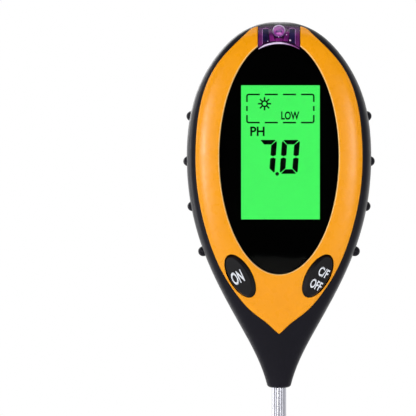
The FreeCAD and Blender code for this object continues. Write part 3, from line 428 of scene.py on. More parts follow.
display = {
    "shift": (-0.08 * mm, 0.3 * mm),  # everything shown, from the film's middle
    "lift": 0.02 * mm,  # segments in front of the film
    "thick": 0.015 * mm,
    "stroke": 0.5 * mm,  # width of the dashes
    "frameReach": 11.0 * mm,  # dashed frame, either side of its middle
    "frameShift": 0.05 * mm,
    "frameTop": 18.75 * mm,  # from the view's middle
    "frameFoot": 9.5 * mm,
    "frameCorner": 0.6 * mm,
    "frameArms": (4.2 * mm, 2.45 * mm),
    "dash": 4.3 * mm,
    "dashPlace": 3.0 * mm,
    "sideDash": 1.6 * mm,
    "sun": (-5.15 * mm, 15.7 * mm),
    "sunRing": 0.9 * mm,
    "sunStroke": 0.5 * mm,
    "sunRay": (1.0 * mm, 2.15 * mm),
    "digitTop": 3.8 * mm,
    "digitFoot": -7.35 * mm,
    "digitWidth": 5.9 * mm,
    "firstDigit": -7.35 * mm,  # left edges
    "lastDigit": 0.2 * mm,
    "bar": 1.5 * mm,
    "upright": 1.8 * mm,
    "mitre": 0.38 * mm,
    "lean": 0.075,  # sideways lean of a digit per height
    "dot": -1.0 * mm,
    "dotSink": 0.02 * mm,
    "dotRadius": 0.6 * mm,
}
filmLow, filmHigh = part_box("front_polariser")
viewX = (filmLow.x + filmHigh.x) / 2 + display["shift"][0]
viewZ = (filmLow.z + filmHigh.z) / 2 + display["shift"][1]
viewY = filmLow.y - display["lift"]


def flatShape(bm, points):  # a thin prism standing on the film, from (x, z) points about the view's middle
    faces = []
    for y in (viewY, viewY - display["thick"]):
        faces.append([bm.verts.new((viewX + x, y, viewZ + z)) for x, z in points])
    bm.faces.new(faces[0])
    bm.faces.new(reversed(faces[1]))
    count = len(points)
    for i in range(count):
        a, b = faces[0][i], faces[0][(i + 1) % count]
        c, d = faces[1][(i + 1) % count], faces[1][i]
        bm.faces.new((a, d, c, b))


def barShape(bm, start, end, width):  # a plain bar between two points
    start, end = Vector(start), Vector(end)
    along = (end - start).normalized()
    side = Vector((-along.y, along.x)) * width / 2
    flatShape(bm, [tuple(p) for p in (start + side, end + side, end - side, start - side)])


def makeDigit(bm, left, lit):  # mitred segments, a at the top, then clockwise to f
    half, bar, post = display["digitWidth"] / 2, display["bar"], display["upright"]
    middle = (display["digitTop"] + display["digitFoot"]) / 2
    rise = display["digitTop"] - middle
    mitre = display["mitre"]
    flat = [(-half + 1.3 * mitre, rise - 0.4 * mitre), (-half + 2 * mitre, rise),
            (half - 2 * mitre, rise), (half - 1.3 * mitre, rise - 0.4 * mitre),
            (half - post + 0.1 * mitre, rise - bar), (-half + post - 0.1 * mitre, rise - bar)]
    upright = [(half - 0.8 * mitre, rise - 1.1 * mitre), (half, rise - 1.9 * mitre), (half, 1.5 * mitre),
               (half - post / 2, 0.5 * mitre), (half - post, 1.5 * mitre),
               (half - post, rise - bar - 0.7 * mitre)]
    strokes = {
        "a": (flat, 1, 1), "b": (upright, 1, 1), "c": (upright, 1, -1), "d": (flat, 1, -1),
        "e": (upright, -1, -1), "f": (upright, -1, 1),
    }
    for name in lit:
        outline, sx, sz = strokes[name]
        flatShape(bm, [
            (left + half + sx * x + display["lean"] * sz * z, middle + sz * z) for x, z in outline
        ])


def makeSegments():
    bm = bmesh.new()
    makeDigit(bm, display["firstDigit"], "abc")
    makeDigit(bm, display["lastDigit"], "abcdef")
    turns, radius = 20, display["dotRadius"]
    dotX, dotZ = display["dot"], display["digitFoot"] - display["dotSink"]
    flatShape(bm, [
        (dotX + radius * math.cos(a), dotZ + radius * math.sin(a))
        for a in [i * math.tau / turns for i in range(turns)]
    ])
    obj = meshObject("displayDigits", bm, segmentDark)
    return finishPiece(obj, "case")


makeSegments()


def newTree(name, inputs):
    tree = bpy.data.node_groups.new(name, "GeometryNodeTree")
    tree.interface.new_socket("Geometry", in_out="INPUT", socket_type="NodeSocketGeometry")
    tree.interface.new_socket("Geometry", in_out="OUTPUT", socket_type="NodeSocketGeometry")
    for label, kind, value in inputs:
        socket = tree.interface.new_socket(label, in_out="INPUT", socket_type=kind)
        socket.default_value = value
    return tree


def treeNode(tree, kind, values=None, **settings):
    node = tree.nodes.new(kind)
    for key, value in settings.items():
        setattr(node, key, value)
    for socket, value in (values or {}).items():
        node.inputs[socket].default_value = value
    return node


def treeLinks(tree, *pairs):
    for start, end in pairs:
        tree.links.new(start, end)


def grown(name, tree, sizes, body):  # runs a tree and keeps its plain mesh
    obj = linkObject(name, bpy.data.meshes.new(name))
    modifier = obj.modifiers.new("Grow", "NODES")
    modifier.node_group = tree
    for item in tree.interface.items_tree:
        if item.item_type == "SOCKET" and item.in_out == "INPUT" and item.name in sizes:
            modifier[item.identifier] = sizes[item.name]
    applyModifiers(obj)
    return finishPiece(obj, body)


def makeSunTree():  # a ring with rays about it, lying in the display's plane
    tree = newTree("SunIcon", [
        ("Rays", "NodeSocketInt", 8), ("Ring Radius", "NodeSocketFloat", 0.001),
        ("Ray Start", "NodeSocketFloat", 0.0014), ("Ray End", "NodeSocketFloat", 0.002),
        ("Stroke", "NodeSocketFloat", 0.0003), ("Thickness", "NodeSocketFloat", 0.00002),
        ("Centre", "NodeSocketVector", (0, 0, 0)),
    ])
    start = treeNode(tree, "NodeGroupInput")
    middle = treeNode(tree, "ShaderNodeMath", operation="ADD")
    half = treeNode(tree, "ShaderNodeMath", {1: 0.5}, operation="MULTIPLY")
    length = treeNode(tree, "ShaderNodeMath", operation="SUBTRACT")
    size = treeNode(tree, "ShaderNodeCombineXYZ")
    ray = treeNode(tree, "GeometryNodeMeshCube")
    circle = treeNode(tree, "GeometryNodeMeshCircle")
    align = treeNode(tree, "FunctionNodeAlignRotationToVector", axis="X")
    spot = treeNode(tree, "GeometryNodeInputPosition")
    rays = treeNode(tree, "GeometryNodeInstanceOnPoints")
    ringLine = treeNode(tree, "GeometryNodeCurvePrimitiveCircle", {"Resolution": 32})
    profile = treeNode(tree, "GeometryNodeCurvePrimitiveQuadrilateral", mode="RECTANGLE")
    tube = treeNode(tree, "GeometryNodeCurveToMesh", {"Fill Caps": True})
    both = treeNode(tree, "GeometryNodeJoinGeometry")
    stand = treeNode(tree, "GeometryNodeTransform", {"Rotation": (math.pi / 2, 0, 0)})
    solid = treeNode(tree, "GeometryNodeRealizeInstances")
    paint = treeNode(tree, "GeometryNodeSetMaterial", {"Material": segmentDark})
    end = treeNode(tree, "NodeGroupOutput")
    treeLinks(
        tree,
        (start.outputs["Ray Start"], middle.inputs[0]), (start.outputs["Ray End"], middle.inputs[1]),
        (middle.outputs[0], half.inputs[0]),
        (start.outputs["Ray End"], length.inputs[0]), (start.outputs["Ray Start"], length.inputs[1]),
        (length.outputs[0], size.inputs["X"]), (start.outputs["Stroke"], size.inputs["Y"]),
        (start.outputs["Thickness"], size.inputs["Z"]), (size.outputs[0], ray.inputs["Size"]),
        (start.outputs["Rays"], circle.inputs["Vertices"]), (half.outputs[0], circle.inputs["Radius"]),
        (spot.outputs[0], align.inputs["Vector"]),
        (circle.outputs["Mesh"], rays.inputs["Points"]), (ray.outputs["Mesh"], rays.inputs["Instance"]),
        (align.outputs[0], rays.inputs["Rotation"]),
        (start.outputs["Ring Radius"], ringLine.inputs["Radius"]),
        (start.outputs["Stroke"], profile.inputs["Width"]),
        (start.outputs["Thickness"], profile.inputs["Height"]),
        (ringLine.outputs["Curve"], tube.inputs["Curve"]),
        (profile.outputs["Curve"], tube.inputs["Profile Curve"]),
        (rays.outputs["Instances"], both.inputs[0]), (tube.outputs["Mesh"], both.inputs[0]),
        (both.outputs[0], stand.inputs["Geometry"]), (start.outputs["Centre"], stand.inputs["Translation"]),
        (stand.outputs[0], solid.inputs[0]), (solid.outputs[0], paint.inputs["Geometry"]),
        (paint.outputs[0], end.inputs[0]),
    )
    return tree


grown("displaySun", makeSunTree(), {
    "Rays": 8, "Ring Radius": display["sunRing"], "Ray Start": display["sunRay"][0],
    "Ray End": display["sunRay"][1], "Stroke": display["sunStroke"], "Thickness": display["thick"],
    "Centre": (viewX + display["sun"][0], viewY, viewZ + display["sun"][1]),
}, "case")


def makeDashedFrame():  # four rounded corner pieces and the dashes between them
    bm = bmesh.new()
    reachX, reachZ = display["frameReach"], (display["frameTop"] - display["frameFoot"]) / 2
    middle = (display["frameTop"] + display["frameFoot"]) / 2
    stroke, corner = display["stroke"], display["frameCorner"]
    armX, armZ = display["frameArms"]
    for sx in (-1, 1):
        for sz in (-1, 1):
            outer, inner = [], []
            for step in range(6):
                angle = step * math.pi / 10
                for ring, radius in ((outer, corner + stroke / 2), (inner, corner - stroke / 2)):
                    ring.append((
                        sx * (reachX - corner + radius * math.cos(angle)) + display["frameShift"],
                        sz * (reachZ - corner + radius * math.sin(angle)) + middle,
                    ))
            edgeX = [sx * (reachX + d * stroke / 2) + display["frameShift"] for d in (1, -1)]
            edgeZ = [sz * (reachZ + d * stroke / 2) + middle for d in (1, -1)]
            outer = [(edgeX[0], sz * (reachZ - armZ) + middle), *outer]
            inner = [(edgeX[1], sz * (reachZ - armZ) + middle), *inner]
            outer.append((sx * (reachX - armX) + display["frameShift"], edgeZ[0]))
            inner.append((sx * (reachX - armX) + display["frameShift"], edgeZ[1]))
            for i in range(len(outer) - 1):
                flatShape(bm, [outer[i], outer[i + 1], inner[i + 1], inner[i]])
    dash = display["dash"]
    for sz in (-1, 1):
        z = sz * reachZ + middle
        for x in (-display["dashPlace"], display["dashPlace"]):
            x += display["frameShift"]
            barShape(bm, (x - dash / 2, z), (x + dash / 2, z), stroke)
    for sx in (-1, 1):
        x = sx * reachX + display["frameShift"]
        barShape(bm, (x, middle - display["sideDash"] / 2), (x, middle + display["sideDash"] / 2), stroke)
    return finishPiece(meshObject("displayFrame", bm, segmentDark), "case")


makeDashedFrame()


def textMesh(name, words, width, height, thicken):  # lettering in its own plane, centred, of this size
    curve = bpy.data.curves.new(name, "FONT")
    curve.body = words
    curve.offset = thicken
    curve.resolution_u = 6
    holder = linkObject(name + "Text", curve)
    depsgraph = bpy.context.evaluated_depsgraph_get()
    mesh = bpy.data.meshes.new_from_object(holder.evaluated_get(depsgraph))
    bpy.data.objects.remove(holder)
    xs = [v.co.x for v in mesh.vertices]
    ys = [v.co.y for v in mesh.vertices]
    centre = Vector(((max(xs) + min(xs)) / 2, (max(ys) + min(ys)) / 2, 0))
    fit = Matrix.Diagonal((width / (max(xs) - min(xs)), height / (max(ys) - min(ys)), 1, 1))
    mesh.transform(fit @ Matrix.Translation(-centre))
    return mesh


def makeLettering(name, words, place, size, material, body, turn=0.0, onto=None, thicken=0.0):
    mesh = textMesh(name, words, *size, thicken)
    upright = Matrix.Rotation(math.pi / 2, 4, "X")
    mesh.transform(Matrix.Rotation(math.radians(turn), 4, "Z"))
    mesh.transform(Matrix.Translation((place[0], viewY, place[1])) @ upright)
    bm = bmesh.new()
    bm.from_mesh(mesh)
    if onto:
        surface = bmesh.new()
        surface.from_mesh(onto.data)
        tree = BVHTree.FromBMesh(surface)
        for vert in bm.verts:
            hit = tree.ray_cast(Vector((vert.co.x, -0.1, vert.co.z)), Vector((0, 1, 0)))[0]
            vert.co.y = hit.y - 0.012 * mm
        surface.free()
    made = bmesh.ops.extrude_face_region(bm, geom=bm.faces[:])
    for vert in [g for g in made["geom"] if isinstance(g, bmesh.types.BMVert)]:
        vert.co.y -= display["thick"]
    bpy.data.meshes.remove(mesh)
    return finishPiece(meshObject(name, bm, material), body)


displayWords = [  # words, place from the view's middle, width and height, growth of the strokes
    ("displayLow", "LOW", (3.3, 11.8), (5.95, 2.7), 0.03),
    ("displayPh", "PH", (-7.5, 6.62), (4.7, 3.1), 0.024),
]
for name, words, place, size, thicken in displayWords:
    makeLettering(
        name, words, (viewX + place[0] * mm, viewZ + place[1] * mm), [v * mm for v in size],
        segmentDark, "case", thicken=thicken,
    )
print("display contents made")


legends = [  # words, place across and up, width and height, turn, key, body
    ("onLegend", "ON", (-13.66, 37.16), (3.84, 4.3), 25.5, onKeySkin, "on_button"),
    ("unitLegend", "C/F", (14.7, 38.75), (3.3, 3.2), -27, offKeySkin, "off_button"),
    ("offLegend", "OFF", (12.2, 34.75), (3.8, 3.2), -27, offKeySkin, "off_button"),
]
for name, words, place, size, turn, key, body in legends:
    makeLettering(
        name, words, [v * mm for v in place], [v * mm for v in size],
        legendWhite, body, turn, key, thicken=0.025,
    )
print("key legends made")


sensorLow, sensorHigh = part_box("sensor_cover")
eyeLow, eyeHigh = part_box("light_sensor")
cover = {
    "half": sensorHigh.x,
    "foot": sensorLow.z + 1.93 * mm,  # lower edge at the middle
    "arc": 13.1 * mm,  # radius of the lower edge
    "top": sensorHigh.z,
    "eye": (eyeLow.z + eyeHigh.z) / 2 + 0.4 * mm,
    "ringRadius": 1.95 * mm,
    "ringTube": 0.21 * mm,
    "lip": 0.62 * mm,
    "rib": 1.15 * mm,
    "armRise": 3.3 * mm,
    "wells": ((-5.35, -3.45, 0.1), (3.45, 5.25, -0.4)),  # left, right and foot of each, mm
    "edges": (-5.5, 5.35),  # mm from the middle
    "brows": (-4.4, 4.4),
    "pip": 0.3 * mm,
    "pips": ((3.65, 1.25, 1.0), (-0.1, 2.45, 0.6), (2.5, 3.15, 0.6), (-3.7, 0.95, 0.55)),  # x, rise, share
}
coverShape = bmesh.new()
coverShape.from_mesh(coverSkin.data)
coverTree = BVHTree.FromBMesh(coverShape)
coverShape.free()


def coverFace(x, z):  # depth of the cover's face
    hit = coverTree.ray_cast(Vector((x, -0.1, min(z, cover["top"] - 0.08 * mm))), Vector((0, 1, 0)))[0]
    return hit.y if hit else sensorHigh.y


def coverFoot(x):
    return cover["foot"] - cover["arc"] + math.sqrt(cover["arc"] ** 2 - x * x)


def addRelief(bm, point, proud, across=8, up=4, sink=0.5 * mm):  # a raised patch moulded on the cover's face
    grids = []
    for back in (False, True):
        grid = []
        for i in range(across + 1):
            row = []
            for j in range(up + 1):
                u, v = i / across, j / up
                x, z = point(u, v)
                lift = sink if back else -(proud(u, v) if callable(proud) else proud)
                row.append(bm.verts.new((x, coverFace(x, z) + lift, z)))
            grid.append(row)
        grids.append(grid)
    for grid in grids:
        for i in range(across):
            for j in range(up):
                bm.faces.new((grid[i][j], grid[i + 1][j], grid[i + 1][j + 1], grid[i][j + 1]))
    front, back = grids
    rim = [(i, 0) for i in range(across)] + [(across, j) for j in range(up)]
    rim += [(i, up) for i in range(across, 0, -1)] + [(0, j) for j in range(up, 0, -1)]
    for a, b in zip(rim, rim[1:] + rim[:1]):
        bm.faces.new((front[a[0]][a[1]], front[b[0]][b[1]], back[b[0]][b[1]], back[a[0]][a[1]]))


def panel(x0, x1, z0, z1):  # a patch's outline, with its sides in metres
    return lambda u, v: (x0 + u * (x1 - x0), z0 + v * (z1 - z0))


def coverPiece(name, material, build):
    bm = bmesh.new()
    build(bm)
    obj = meshObject(name, bm, material, smooth=True, sharpAngle=50)
    return finishPiece(obj, "case")


def buildLip(bm):  # the bead along the lower edge, narrowing to the right; its pale colour, fading out to the right, is a painted highlight
    reach = cover["half"] - 0.12 * mm

    def point(u, v):
        x = -reach + u * 2 * reach
        wide = cover["lip"] * (1 - 0.62 * max(0.0, u - 0.55) / 0.45) * min(1, 0.45 + 4 * u)
        return x, coverFoot(x) + 0.06 * mm + v * wide

    addRelief(bm, point, lambda u, v: (0.06 + 0.24 * math.sin(v * math.pi)) * mm, 36, 6)


def buildRibs(bm):  # the walls down both sides
    for side in (-1, 1):
        def point(u, v):
            x = side * (cover["half"] - 0.1 * mm - u * cover["rib"])
            foot = coverFoot(x) + 0.75 * mm
            return x, foot + v * (cover["top"] - 0.9 * mm - foot)

        addRelief(bm, point, lambda u, v: (0.05 + 0.1 * math.sin(u * math.pi)) * mm, 4, 10)


def buildArms(bm):  # the arms from the eye's collar down to the foot, and the block under the eye
    low = cover["foot"] + 0.95 * mm
    for side in (-1, 1):
        def point(u, v):
            inner, outer = (1.5 + 1.0 * v - 0.2) * mm, (3.0 + 0.35 * v) * mm
            return side * (inner + u * (outer - inner)), low + v * cover["armRise"]

        addRelief(bm, point, 0.12 * mm, 4, 8)
    addRelief(bm, panel(-1.15 * mm, 1.15 * mm, low - 0.1 * mm, low + 1.0 * mm), 0.07 * mm, 4, 4)


def buildShadedWells(bm):  # painted shade: dark navy patches, barely proud, where the wells either side lie in shade
    low, high = cover["foot"] + 0.7 * mm, cover["eye"] + 0.55 * mm
    for left, right, rise in cover["wells"]:
        addRelief(bm, panel(left * mm, right * mm, low + rise * mm, high), 0.02 * mm, 6, 8)


def buildEdges(bm):  # painted highlight: fine bright edges about the wells
    low, high = cover["foot"] + 0.7 * mm, cover["eye"] + 0.6 * mm
    for x in cover["edges"]:
        addRelief(bm, panel((x - 0.09) * mm, (x + 0.09) * mm, low - 0.7 * mm, high), 0.14 * mm, 2, 10)
    for x in cover["brows"]:
        def point(u, v):
            return (x - 0.95 + 1.9 * u) * mm, high + (0.18 * v + 0.25 * math.sin(u * math.pi)) * mm

        addRelief(bm, point, 0.16 * mm, 8, 2)


def addDisc(bm, centre, radius, proud, rings=5, turns=32):  # a round relief, proud by a share of its radius
    rows = []
    for step in range(1, rings + 1):
        share = step / rings
        rows.append([])
        for i in range(turns):
            angle = i * math.tau / turns
            x = centre[0] + radius * share * math.cos(angle)
            z = centre[1] + radius * share * math.sin(angle)
            rows[-1].append(bm.verts.new((x, coverFace(x, z) - proud(share), z)))
    tip = bm.verts.new((centre[0], coverFace(*centre) - proud(0), centre[1]))
    foot = [bm.verts.new((v.co.x, v.co.y + 0.4 * mm, v.co.z)) for v in rows[-1]]
    for i in range(turns):
        n = (i + 1) % turns
        bm.faces.new((tip, rows[0][i], rows[0][n]))
        bm.faces.new((rows[-1][i], foot[i], foot[n], rows[-1][n]))
        for inner, outer in zip(rows, rows[1:]):
            bm.faces.new((inner[i], outer[i], outer[n], inner[n]))
    bm.faces.new(foot)


def buildRing(bm):  # the collar's ring, lying on the sloping face
    turns, around = 48, 12
    rings = []
    for i in range(turns):
        angle = i * math.tau / turns
        ring = []
        for j in range(around):
            turn = j * math.tau / around
            radius = cover["ringRadius"] + cover["ringTube"] * math.cos(turn)
            x, z = radius * math.cos(angle), cover["eye"] + radius * math.sin(angle)
            y = coverFace(x, z) - 0.1 * mm - cover["ringTube"] * math.sin(turn)
            ring.append(bm.verts.new((x, y, z)))
        rings.append(ring)
    for i in range(turns):
        for j in range(around):
            n, k = (i + 1) % turns, (j + 1) % around
            bm.faces.new((rings[i][j], rings[n][j], rings[n][k], rings[i][k]))


def buildEye(bm):
    radius = cover["ringRadius"] - cover["ringTube"] * 0.8
    addDisc(bm, (0, cover["eye"]), radius, lambda share: (0.1 + 0.5 * (1 - share ** 2)) * mm)


def buildEyeBand(bm):
    middle = cover["eye"] - 0.2 * mm
    addRelief(
        bm, panel(-1.2 * mm, 1.2 * mm, middle - 0.36 * mm, middle + 0.36 * mm),
        lambda u, v: (0.34 + 0.36 * math.sin(u * math.pi)) * mm, 10, 2,
    )


def buildEyeBlock(bm):
    middle = cover["eye"] - 0.9 * mm
    addRelief(
        bm, panel(-0.85 * mm, 0.85 * mm, middle - 0.3 * mm, middle + 0.3 * mm),
        lambda u, v: (0.36 + 0.26 * math.sin(u * math.pi)) * mm, 8, 2,
    )


# small moulded pips; their pale colour is a painted glint
def buildPips(bm):
    for x, rise, share in cover["pips"]:
        addDisc(
            bm, (x * mm, cover["foot"] + rise * mm), cover["pip"] * share,
            lambda s: (0.15 + 0.2 * math.sqrt(max(0, 1 - s * s))) * mm, 4, 16,
        )


def makeHighlightFade(name, socket, low, high, dim, bright, roughness=0.14):  # runs from a dim colour to a bright one along one axis, for painted highlights
    material = newMaterial(name, bright, roughness, Coat_Weight=0.6, Coat_Roughness=0.06)
    place = addNode(material, "ShaderNodeTexCoord")
    split = addNode(material, "ShaderNodeSeparateXYZ")
    spread = addNode(material, "ShaderNodeMapRange")
    spread.inputs["From Min"].default_value = low
    spread.inputs["From Max"].default_value = high
    ramp = addNode(material, "ShaderNodeValToRGB")
    ramp.color_ramp.elements[0].color = (*dim, 1)
    ramp.color_ramp.elements[1].color = (*bright, 1)
    join(material, place.outputs["Object"], split.inputs["Vector"])
    join(material, split.outputs[socket], spread.inputs["Value"])
    join(material, spread.outputs["Result"], ramp.inputs["Fac"])
    join(material, ramp.outputs["Color"], shaderOf(material).inputs["Base Color"])
    return material


def makeCoverTint(name, low, high, roughness=0.18, coat=0.4, gloss=0.4):
    material = newMaterial(
        name, low, roughness, Coat_Weight=coat, Coat_Roughness=0.08, Specular_IOR_Level=gloss,
    )
    addMottle(material, "Base Color", low, high, 420, 2.5)
    addGrain(material, 1400, 0.02 * mm, 0.2)
    return material


# painted highlight: the lip runs from pale lilac at the left to dull purple at the right
lipPaintedHighlight = makeHighlightFade("lipPaintedHighlight", "X", 4.5 * mm, 0.5 * mm, (0.30, 0.06, 0.30), (0.80, 0.66, 0.92))
# painted highlight: the ring runs from dark purple at its foot to pale lilac at its top
ringPaintedHighlight = makeHighlightFade(
    "ringPaintedHighlight", "Z", cover["eye"] - 1.0 * mm, cover["eye"] + 2.2 * mm,
    (0.10, 0.02, 0.16), (0.66, 0.48, 0.74),
)
ribMagenta = makeCoverTint("ribMagenta", (0.07, 0.010, 0.085), (0.17, 0.018, 0.14), 0.25, 0.0, 0.25)
armMagenta = makeCoverTint("armMagenta", (0.06, 0.006, 0.075), (0.20, 0.014, 0.17), 0.22, 0.1, 0.25)
# painted shade: dark navy for the wells beside the eye
wellPaintedShade = makeCoverTint("wellPaintedShade", (0.006, 0.003, 0.022), (0.020, 0.012, 0.070), 0.3, 0.0, 0.15)
# painted highlight: pale pink along the well edges and brows
edgePaintedHighlight = makeCoverTint("edgePaintedHighlight", (0.22, 0.06, 0.30), (0.52, 0.20, 0.52))
eyePink = makeCoverTint("eyePink", (0.20, 0.02, 0.24), (0.55, 0.12, 0.50))
bandPurple = makeCoverTint("bandPurple", (0.07, 0.006, 0.13), (0.15, 0.015, 0.22))
blockPink = makeCoverTint("blockPink", (0.62, 0.12, 0.58), (0.82, 0.26, 0.76))
# painted highlight: near-white lilac for the pips
pipPaintedGlint = makeCoverTint("pipPaintedGlint", (0.72, 0.52, 0.82), (0.88, 0.72, 0.92))

coverPiece("coverLip", lipPaintedHighlight, buildLip)
coverPiece("coverRibs", ribMagenta, buildRibs)
coverPiece("coverArms", armMagenta, buildArms)
coverPiece("coverWells", wellPaintedShade, buildShadedWells)
coverPiece("coverEdges", edgePaintedHighlight, buildEdges)
coverPiece("coverRing", ringPaintedHighlight, buildRing)
coverPiece("coverEye", eyePink, buildEye)
coverPiece("coverEyeBand", bandPurple, buildEyeBand)
coverPiece("coverEyeBlock", blockPink, buildEyeBlock)
coverPiece("coverPips", pipPaintedGlint, buildPips)
print("light sensor made")


screw = {
    "head": 2.15 * mm,  # radius
    "height": 1.5 * mm,
    "recess": 0.55 * mm,
    "arm": 1.15 * mm,
    "depth": 0.9 * mm,
    "edge": 0.05 * mm,  # from the head's rim to the outside of the screws
}


def makeScrewShape():  # one pan head with a cross recess, facing +Y, its top at the origin
    bm = bmesh.new()
    turns, rings = 32, []
    for share in (0.0, 0.3, 0.6, 0.85, 1.0):
        radius = screw["head"] * math.sin(share * math.pi / 2)
        drop = screw["height"] * 0.55 * (1 - math.cos(share * math.pi / 2))
        angles = [i * math.tau / turns for i in range(turns)]
        rings.append([
            bm.verts.new((radius * math.cos(angle), -drop, radius * math.sin(angle))) for angle in angles
        ] if share else None)
    top = bm.verts.new((0, 0, 0))
    for i in range(turns):
        bm.faces.new((top, rings[1][i], rings[1][(i + 1) % turns]))
    for outer, inner in zip(rings[2:], rings[1:]):
        for i in range(turns):
            bm.faces.new((inner[i], outer[i], outer[(i + 1) % turns], inner[(i + 1) % turns]))
    rim = rings[-1]
    low = [bm.verts.new((v.co.x, -screw["height"], v.co.z)) for v in rim]
    for i in range(turns):
        bm.faces.new((rim[i], low[i], low[(i + 1) % turns], rim[(i + 1) % turns]))
    bm.faces.new(low)
    head = meshObject("screwHead", bm, screwZinc, smooth=True, sharpAngle=40)
    cross = bmesh.new()
    for long, short in ((screw["arm"], screw["recess"] / 2), (screw["recess"] / 2, screw["arm"])):
        box = bmesh.ops.create_cube(cross, size=2)["verts"]
        bmesh.ops.scale(cross, vec=(long, screw["depth"], short), verts=box)
    cutter = meshObject("screwCross", cross)
    carve = head.modifiers.new("Cross", "BOOLEAN")
    carve.object = cutter
    carve.operation = "DIFFERENCE"
    carve.solver = "EXACT"
    carve.use_self = True
    applyModifiers(head)
    bpy.data.objects.remove(cutter)
    return head


def makeScrewTree(shape):
    tree = newTree("ScrewHeads", [("Across", "NodeSocketFloat", 0.02), ("High", "NodeSocketFloat", 0.09),
                                  ("Low", "NodeSocketFloat", 0.02), ("Depth", "NodeSocketFloat", 0.006)])
    start = treeNode(tree, "NodeGroupInput")
    info = treeNode(tree, "GeometryNodeObjectInfo", {"Object": shape})
    both = treeNode(tree, "GeometryNodeJoinGeometry")
    for side, height in ((1, "High"), (-1, "High"), (0, "Low")):
        across = treeNode(tree, "ShaderNodeMath", {1: side}, operation="MULTIPLY")
        spot = treeNode(tree, "ShaderNodeCombineXYZ")
        point = treeNode(tree, "GeometryNodePoints", {"Count": 1})
        treeLinks(
            tree,
            (start.outputs["Across"], across.inputs[0]), (across.outputs[0], spot.inputs["X"]),
            (start.outputs["Depth"], spot.inputs["Y"]), (start.outputs[height], spot.inputs["Z"]),
            (spot.outputs[0], point.inputs["Position"]), (point.outputs[0], both.inputs[0]),
        )
    heads = treeNode(tree, "GeometryNodeInstanceOnPoints")
    solid = treeNode(tree, "GeometryNodeRealizeInstances")
    paint = treeNode(tree, "GeometryNodeSetMaterial", {"Material": screwZinc})
    end = treeNode(tree, "NodeGroupOutput")
    treeLinks(
        tree,
        (both.outputs[0], heads.inputs["Points"]), (info.outputs["Geometry"], heads.inputs["Instance"]),
        (heads.outputs[0], solid.inputs[0]), (solid.outputs[0], paint.inputs["Geometry"]),
        (paint.outputs[0], end.inputs[0]),
    )
    return tree


screwLow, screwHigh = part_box("case_screws")
headShape = makeScrewShape()
headHalf = screw["head"] + screw["edge"]
grown("caseScrewHeads", makeScrewTree(headShape), {
    "Across": screwHigh.x - headHalf, "High": screwHigh.z - headHalf, "Low": screwLow.z + headHalf,
    "Depth": screwHigh.y,
}, "case")
bpy.data.objects.remove(headShape)
slots = nodes["case_screws"].data.materials
slots.clear()
slots.append(screwZinc)
print("screws made")


studio = {
    "distance": 0.6955,  # camera to the case's axis
    "lens": 180,
    "shift": -0.1707,
    "height": 0.05994,
    "floorRadius": 1.6,
    "floorCore": 0.3,  # share of the radius
    "floorDrop": 0.0006,
    "floorFade": (0.35, 1.2),  # from here on it turns white
}
lamps = [  # place, height of the point it faces, width, height, power
    ("leftBox", (-0.80, -0.50, 0.12), 0.06, 0.25, 1.0, 2.1),
    ("rightBox", (0.80, -0.46, 0.12), 0.06, 0.20, 1.0, 1.2),
    ("leftStrip", (-0.50, -1.10, 0.13), 0.08, 0.12, 0.36, 4.6),
    ("rightStrip", (0.46, -1.12, 0.13), 0.08, 0.12, 0.32, 2.7),
    ("topBox", (0.0, -0.20, 0.95), 0.08, 0.8, 0.4, 1.7),
    ("leftRim", (-0.75, 0.30, 0.10), 0.06, 0.2, 0.9, 2.5),
    ("backBox", (-0.35, 0.9, 0.5), 0.06, 0.7, 0.7, 4.5),
]


def makeWorld():
    world = bpy.data.worlds.new("Studio")
    scene.world = world
    world.use_nodes = True
    tree = world.node_tree
    tree.nodes.clear()
    place = tree.nodes.new("ShaderNodeTexCoord")
    split = tree.nodes.new("ShaderNodeSeparateXYZ")
    ramp = tree.nodes.new("ShaderNodeValToRGB")
    ramp.color_ramp.elements[0].position = 0.25
    ramp.color_ramp.elements[0].color = (0.06, 0.06, 0.07, 1)
    ramp.color_ramp.elements[1].position = 0.75
    ramp.color_ramp.elements[1].color = (0.85, 0.86, 0.88, 1)
    spread = tree.nodes.new("ShaderNodeMapRange")
    spread.inputs["From Min"].default_value = -1
    light = tree.nodes.new("ShaderNodeBackground")
    white = tree.nodes.new("ShaderNodeBackground")
    white.inputs["Color"].default_value = (1, 1, 1, 1)
    ray = tree.nodes.new("ShaderNodeLightPath")
    shiny = tree.nodes.new("ShaderNodeMath")
    shiny.operation = "ADD"
    behind = tree.nodes.new("ShaderNodeMapRange")
    behind.inputs["From Min"].default_value = 0.0
    behind.inputs["From Max"].default_value = 0.5
    seen = tree.nodes.new("ShaderNodeMath")
    seen.operation = "MULTIPLY"
    seen.use_clamp = True
    either = tree.nodes.new("ShaderNodeMath")
    either.operation = "MAXIMUM"
    mix = tree.nodes.new("ShaderNodeMixShader")
    out = tree.nodes.new("ShaderNodeOutputWorld")
    for a, b in (
        (place.outputs["Generated"], split.inputs[0]), (split.outputs["Y"], spread.inputs["Value"]),
        (spread.outputs[0], ramp.inputs["Fac"]), (ramp.outputs["Color"], light.inputs["Color"]),
        (ray.outputs["Is Glossy Ray"], shiny.inputs[0]),
        (ray.outputs["Is Transmission Ray"], shiny.inputs[1]),
        (split.outputs["Y"], behind.inputs["Value"]), (behind.outputs[0], seen.inputs[0]),
        (shiny.outputs[0], seen.inputs[1]), (seen.outputs[0], either.inputs[0]),
        (ray.outputs["Is Camera Ray"], either.inputs[1]), (either.outputs[0], mix.inputs[0]),
        (light.outputs[0], mix.inputs[1]),
        (white.outputs[0], mix.inputs[2]), (mix.outputs[0], out.inputs["Surface"]),
    ):
        tree.links.new(a, b)


def makeLamp(name, place, aimHeight, width, height, power):
    light = bpy.data.lights.new(name, "AREA")
    light.shape = "RECTANGLE"
    light.size = width
    light.size_y = height
    light.energy = power
    lamp = linkObject(name, light)
    lamp.location = place
    towards = Vector((0, 0, aimHeight)) - Vector(place)
    lamp.rotation_euler = towards.to_track_quat("-Z", "Y").to_euler()


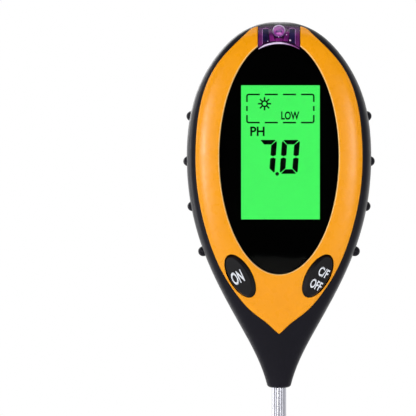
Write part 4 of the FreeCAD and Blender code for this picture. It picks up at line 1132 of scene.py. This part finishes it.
def makeFloor():
    bm = bmesh.new()
    height, radius, turns = cadBox[0][2] - studio["floorDrop"], studio["floorRadius"], 96
    angles = [i * math.tau / turns for i in range(turns)]
    rings = [[bm.verts.new((r * math.cos(angle), r * math.sin(angle), height)) for angle in angles]
             for r in (radius, radius * studio["floorCore"])]
    for i in range(turns):
        bm.faces.new((rings[0][i], rings[0][(i + 1) % turns], rings[1][(i + 1) % turns], rings[1][i]))
    bm.faces.new(rings[1])
    material = newMaterial("paleFloor", (0.86, 0.86, 0.85), 0.7, Specular_IOR_Level=0.2)
    addMottle(material, "Base Color", (0.85, 0.85, 0.84), (0.87, 0.87, 0.86), 9)
    place = addNode(material, "ShaderNodeTexCoord")
    away = addNode(material, "ShaderNodeVectorMath", operation="LENGTH")
    fade = addNode(material, "ShaderNodeMapRange", interpolation_type="SMOOTHSTEP")
    fade.inputs["From Min"].default_value = studio["floorFade"][0]
    fade.inputs["From Max"].default_value = studio["floorFade"][1]
    ray = addNode(material, "ShaderNodeLightPath")
    shiny = addNode(material, "ShaderNodeMath", operation="ADD")
    either = addNode(material, "ShaderNodeMath", operation="ADD", use_clamp=True)
    seen = addNode(material, "ShaderNodeMath", operation="MULTIPLY")
    white = addNode(material, "ShaderNodeEmission")
    mix = addNode(material, "ShaderNodeMixShader")
    shader = shaderOf(material)
    for a, b in (
        (place.outputs["Object"], away.inputs[0]), (away.outputs["Value"], fade.inputs["Value"]),
        (ray.outputs["Is Glossy Ray"], shiny.inputs[0]),
        (ray.outputs["Is Transmission Ray"], shiny.inputs[1]),
        (shiny.outputs[0], either.inputs[0]), (ray.outputs["Is Camera Ray"], either.inputs[1]),
        (either.outputs[0], seen.inputs[0]), (fade.outputs["Result"], seen.inputs[1]),
        (seen.outputs[0], mix.inputs[0]), (shader.outputs[0], mix.inputs[1]),
        (white.outputs[0], mix.inputs[2]),
        (mix.outputs[0], material.node_tree.nodes["Material Output"].inputs["Surface"]),
    ):
        join(material, a, b)
    floor = meshObject("floor", bm, material)


def makeCamera():
    data = bpy.data.cameras.new("camera")
    data.sensor_width = 36
    data.lens = studio["lens"]
    data.shift_x = studio["shift"]
    data.clip_start = 0.01
    data.clip_end = 20
    camera = linkObject("camera", data)
    camera.location = (0, -studio["distance"], studio["height"])
    camera.rotation_euler = (math.pi / 2, 0, 0)
    scene.camera = camera


makeWorld()
for lamp in lamps:
    makeLamp(*lamp)
makeFloor()
makeCamera()
scene.view_settings.view_transform = "Standard"
print("studio made")
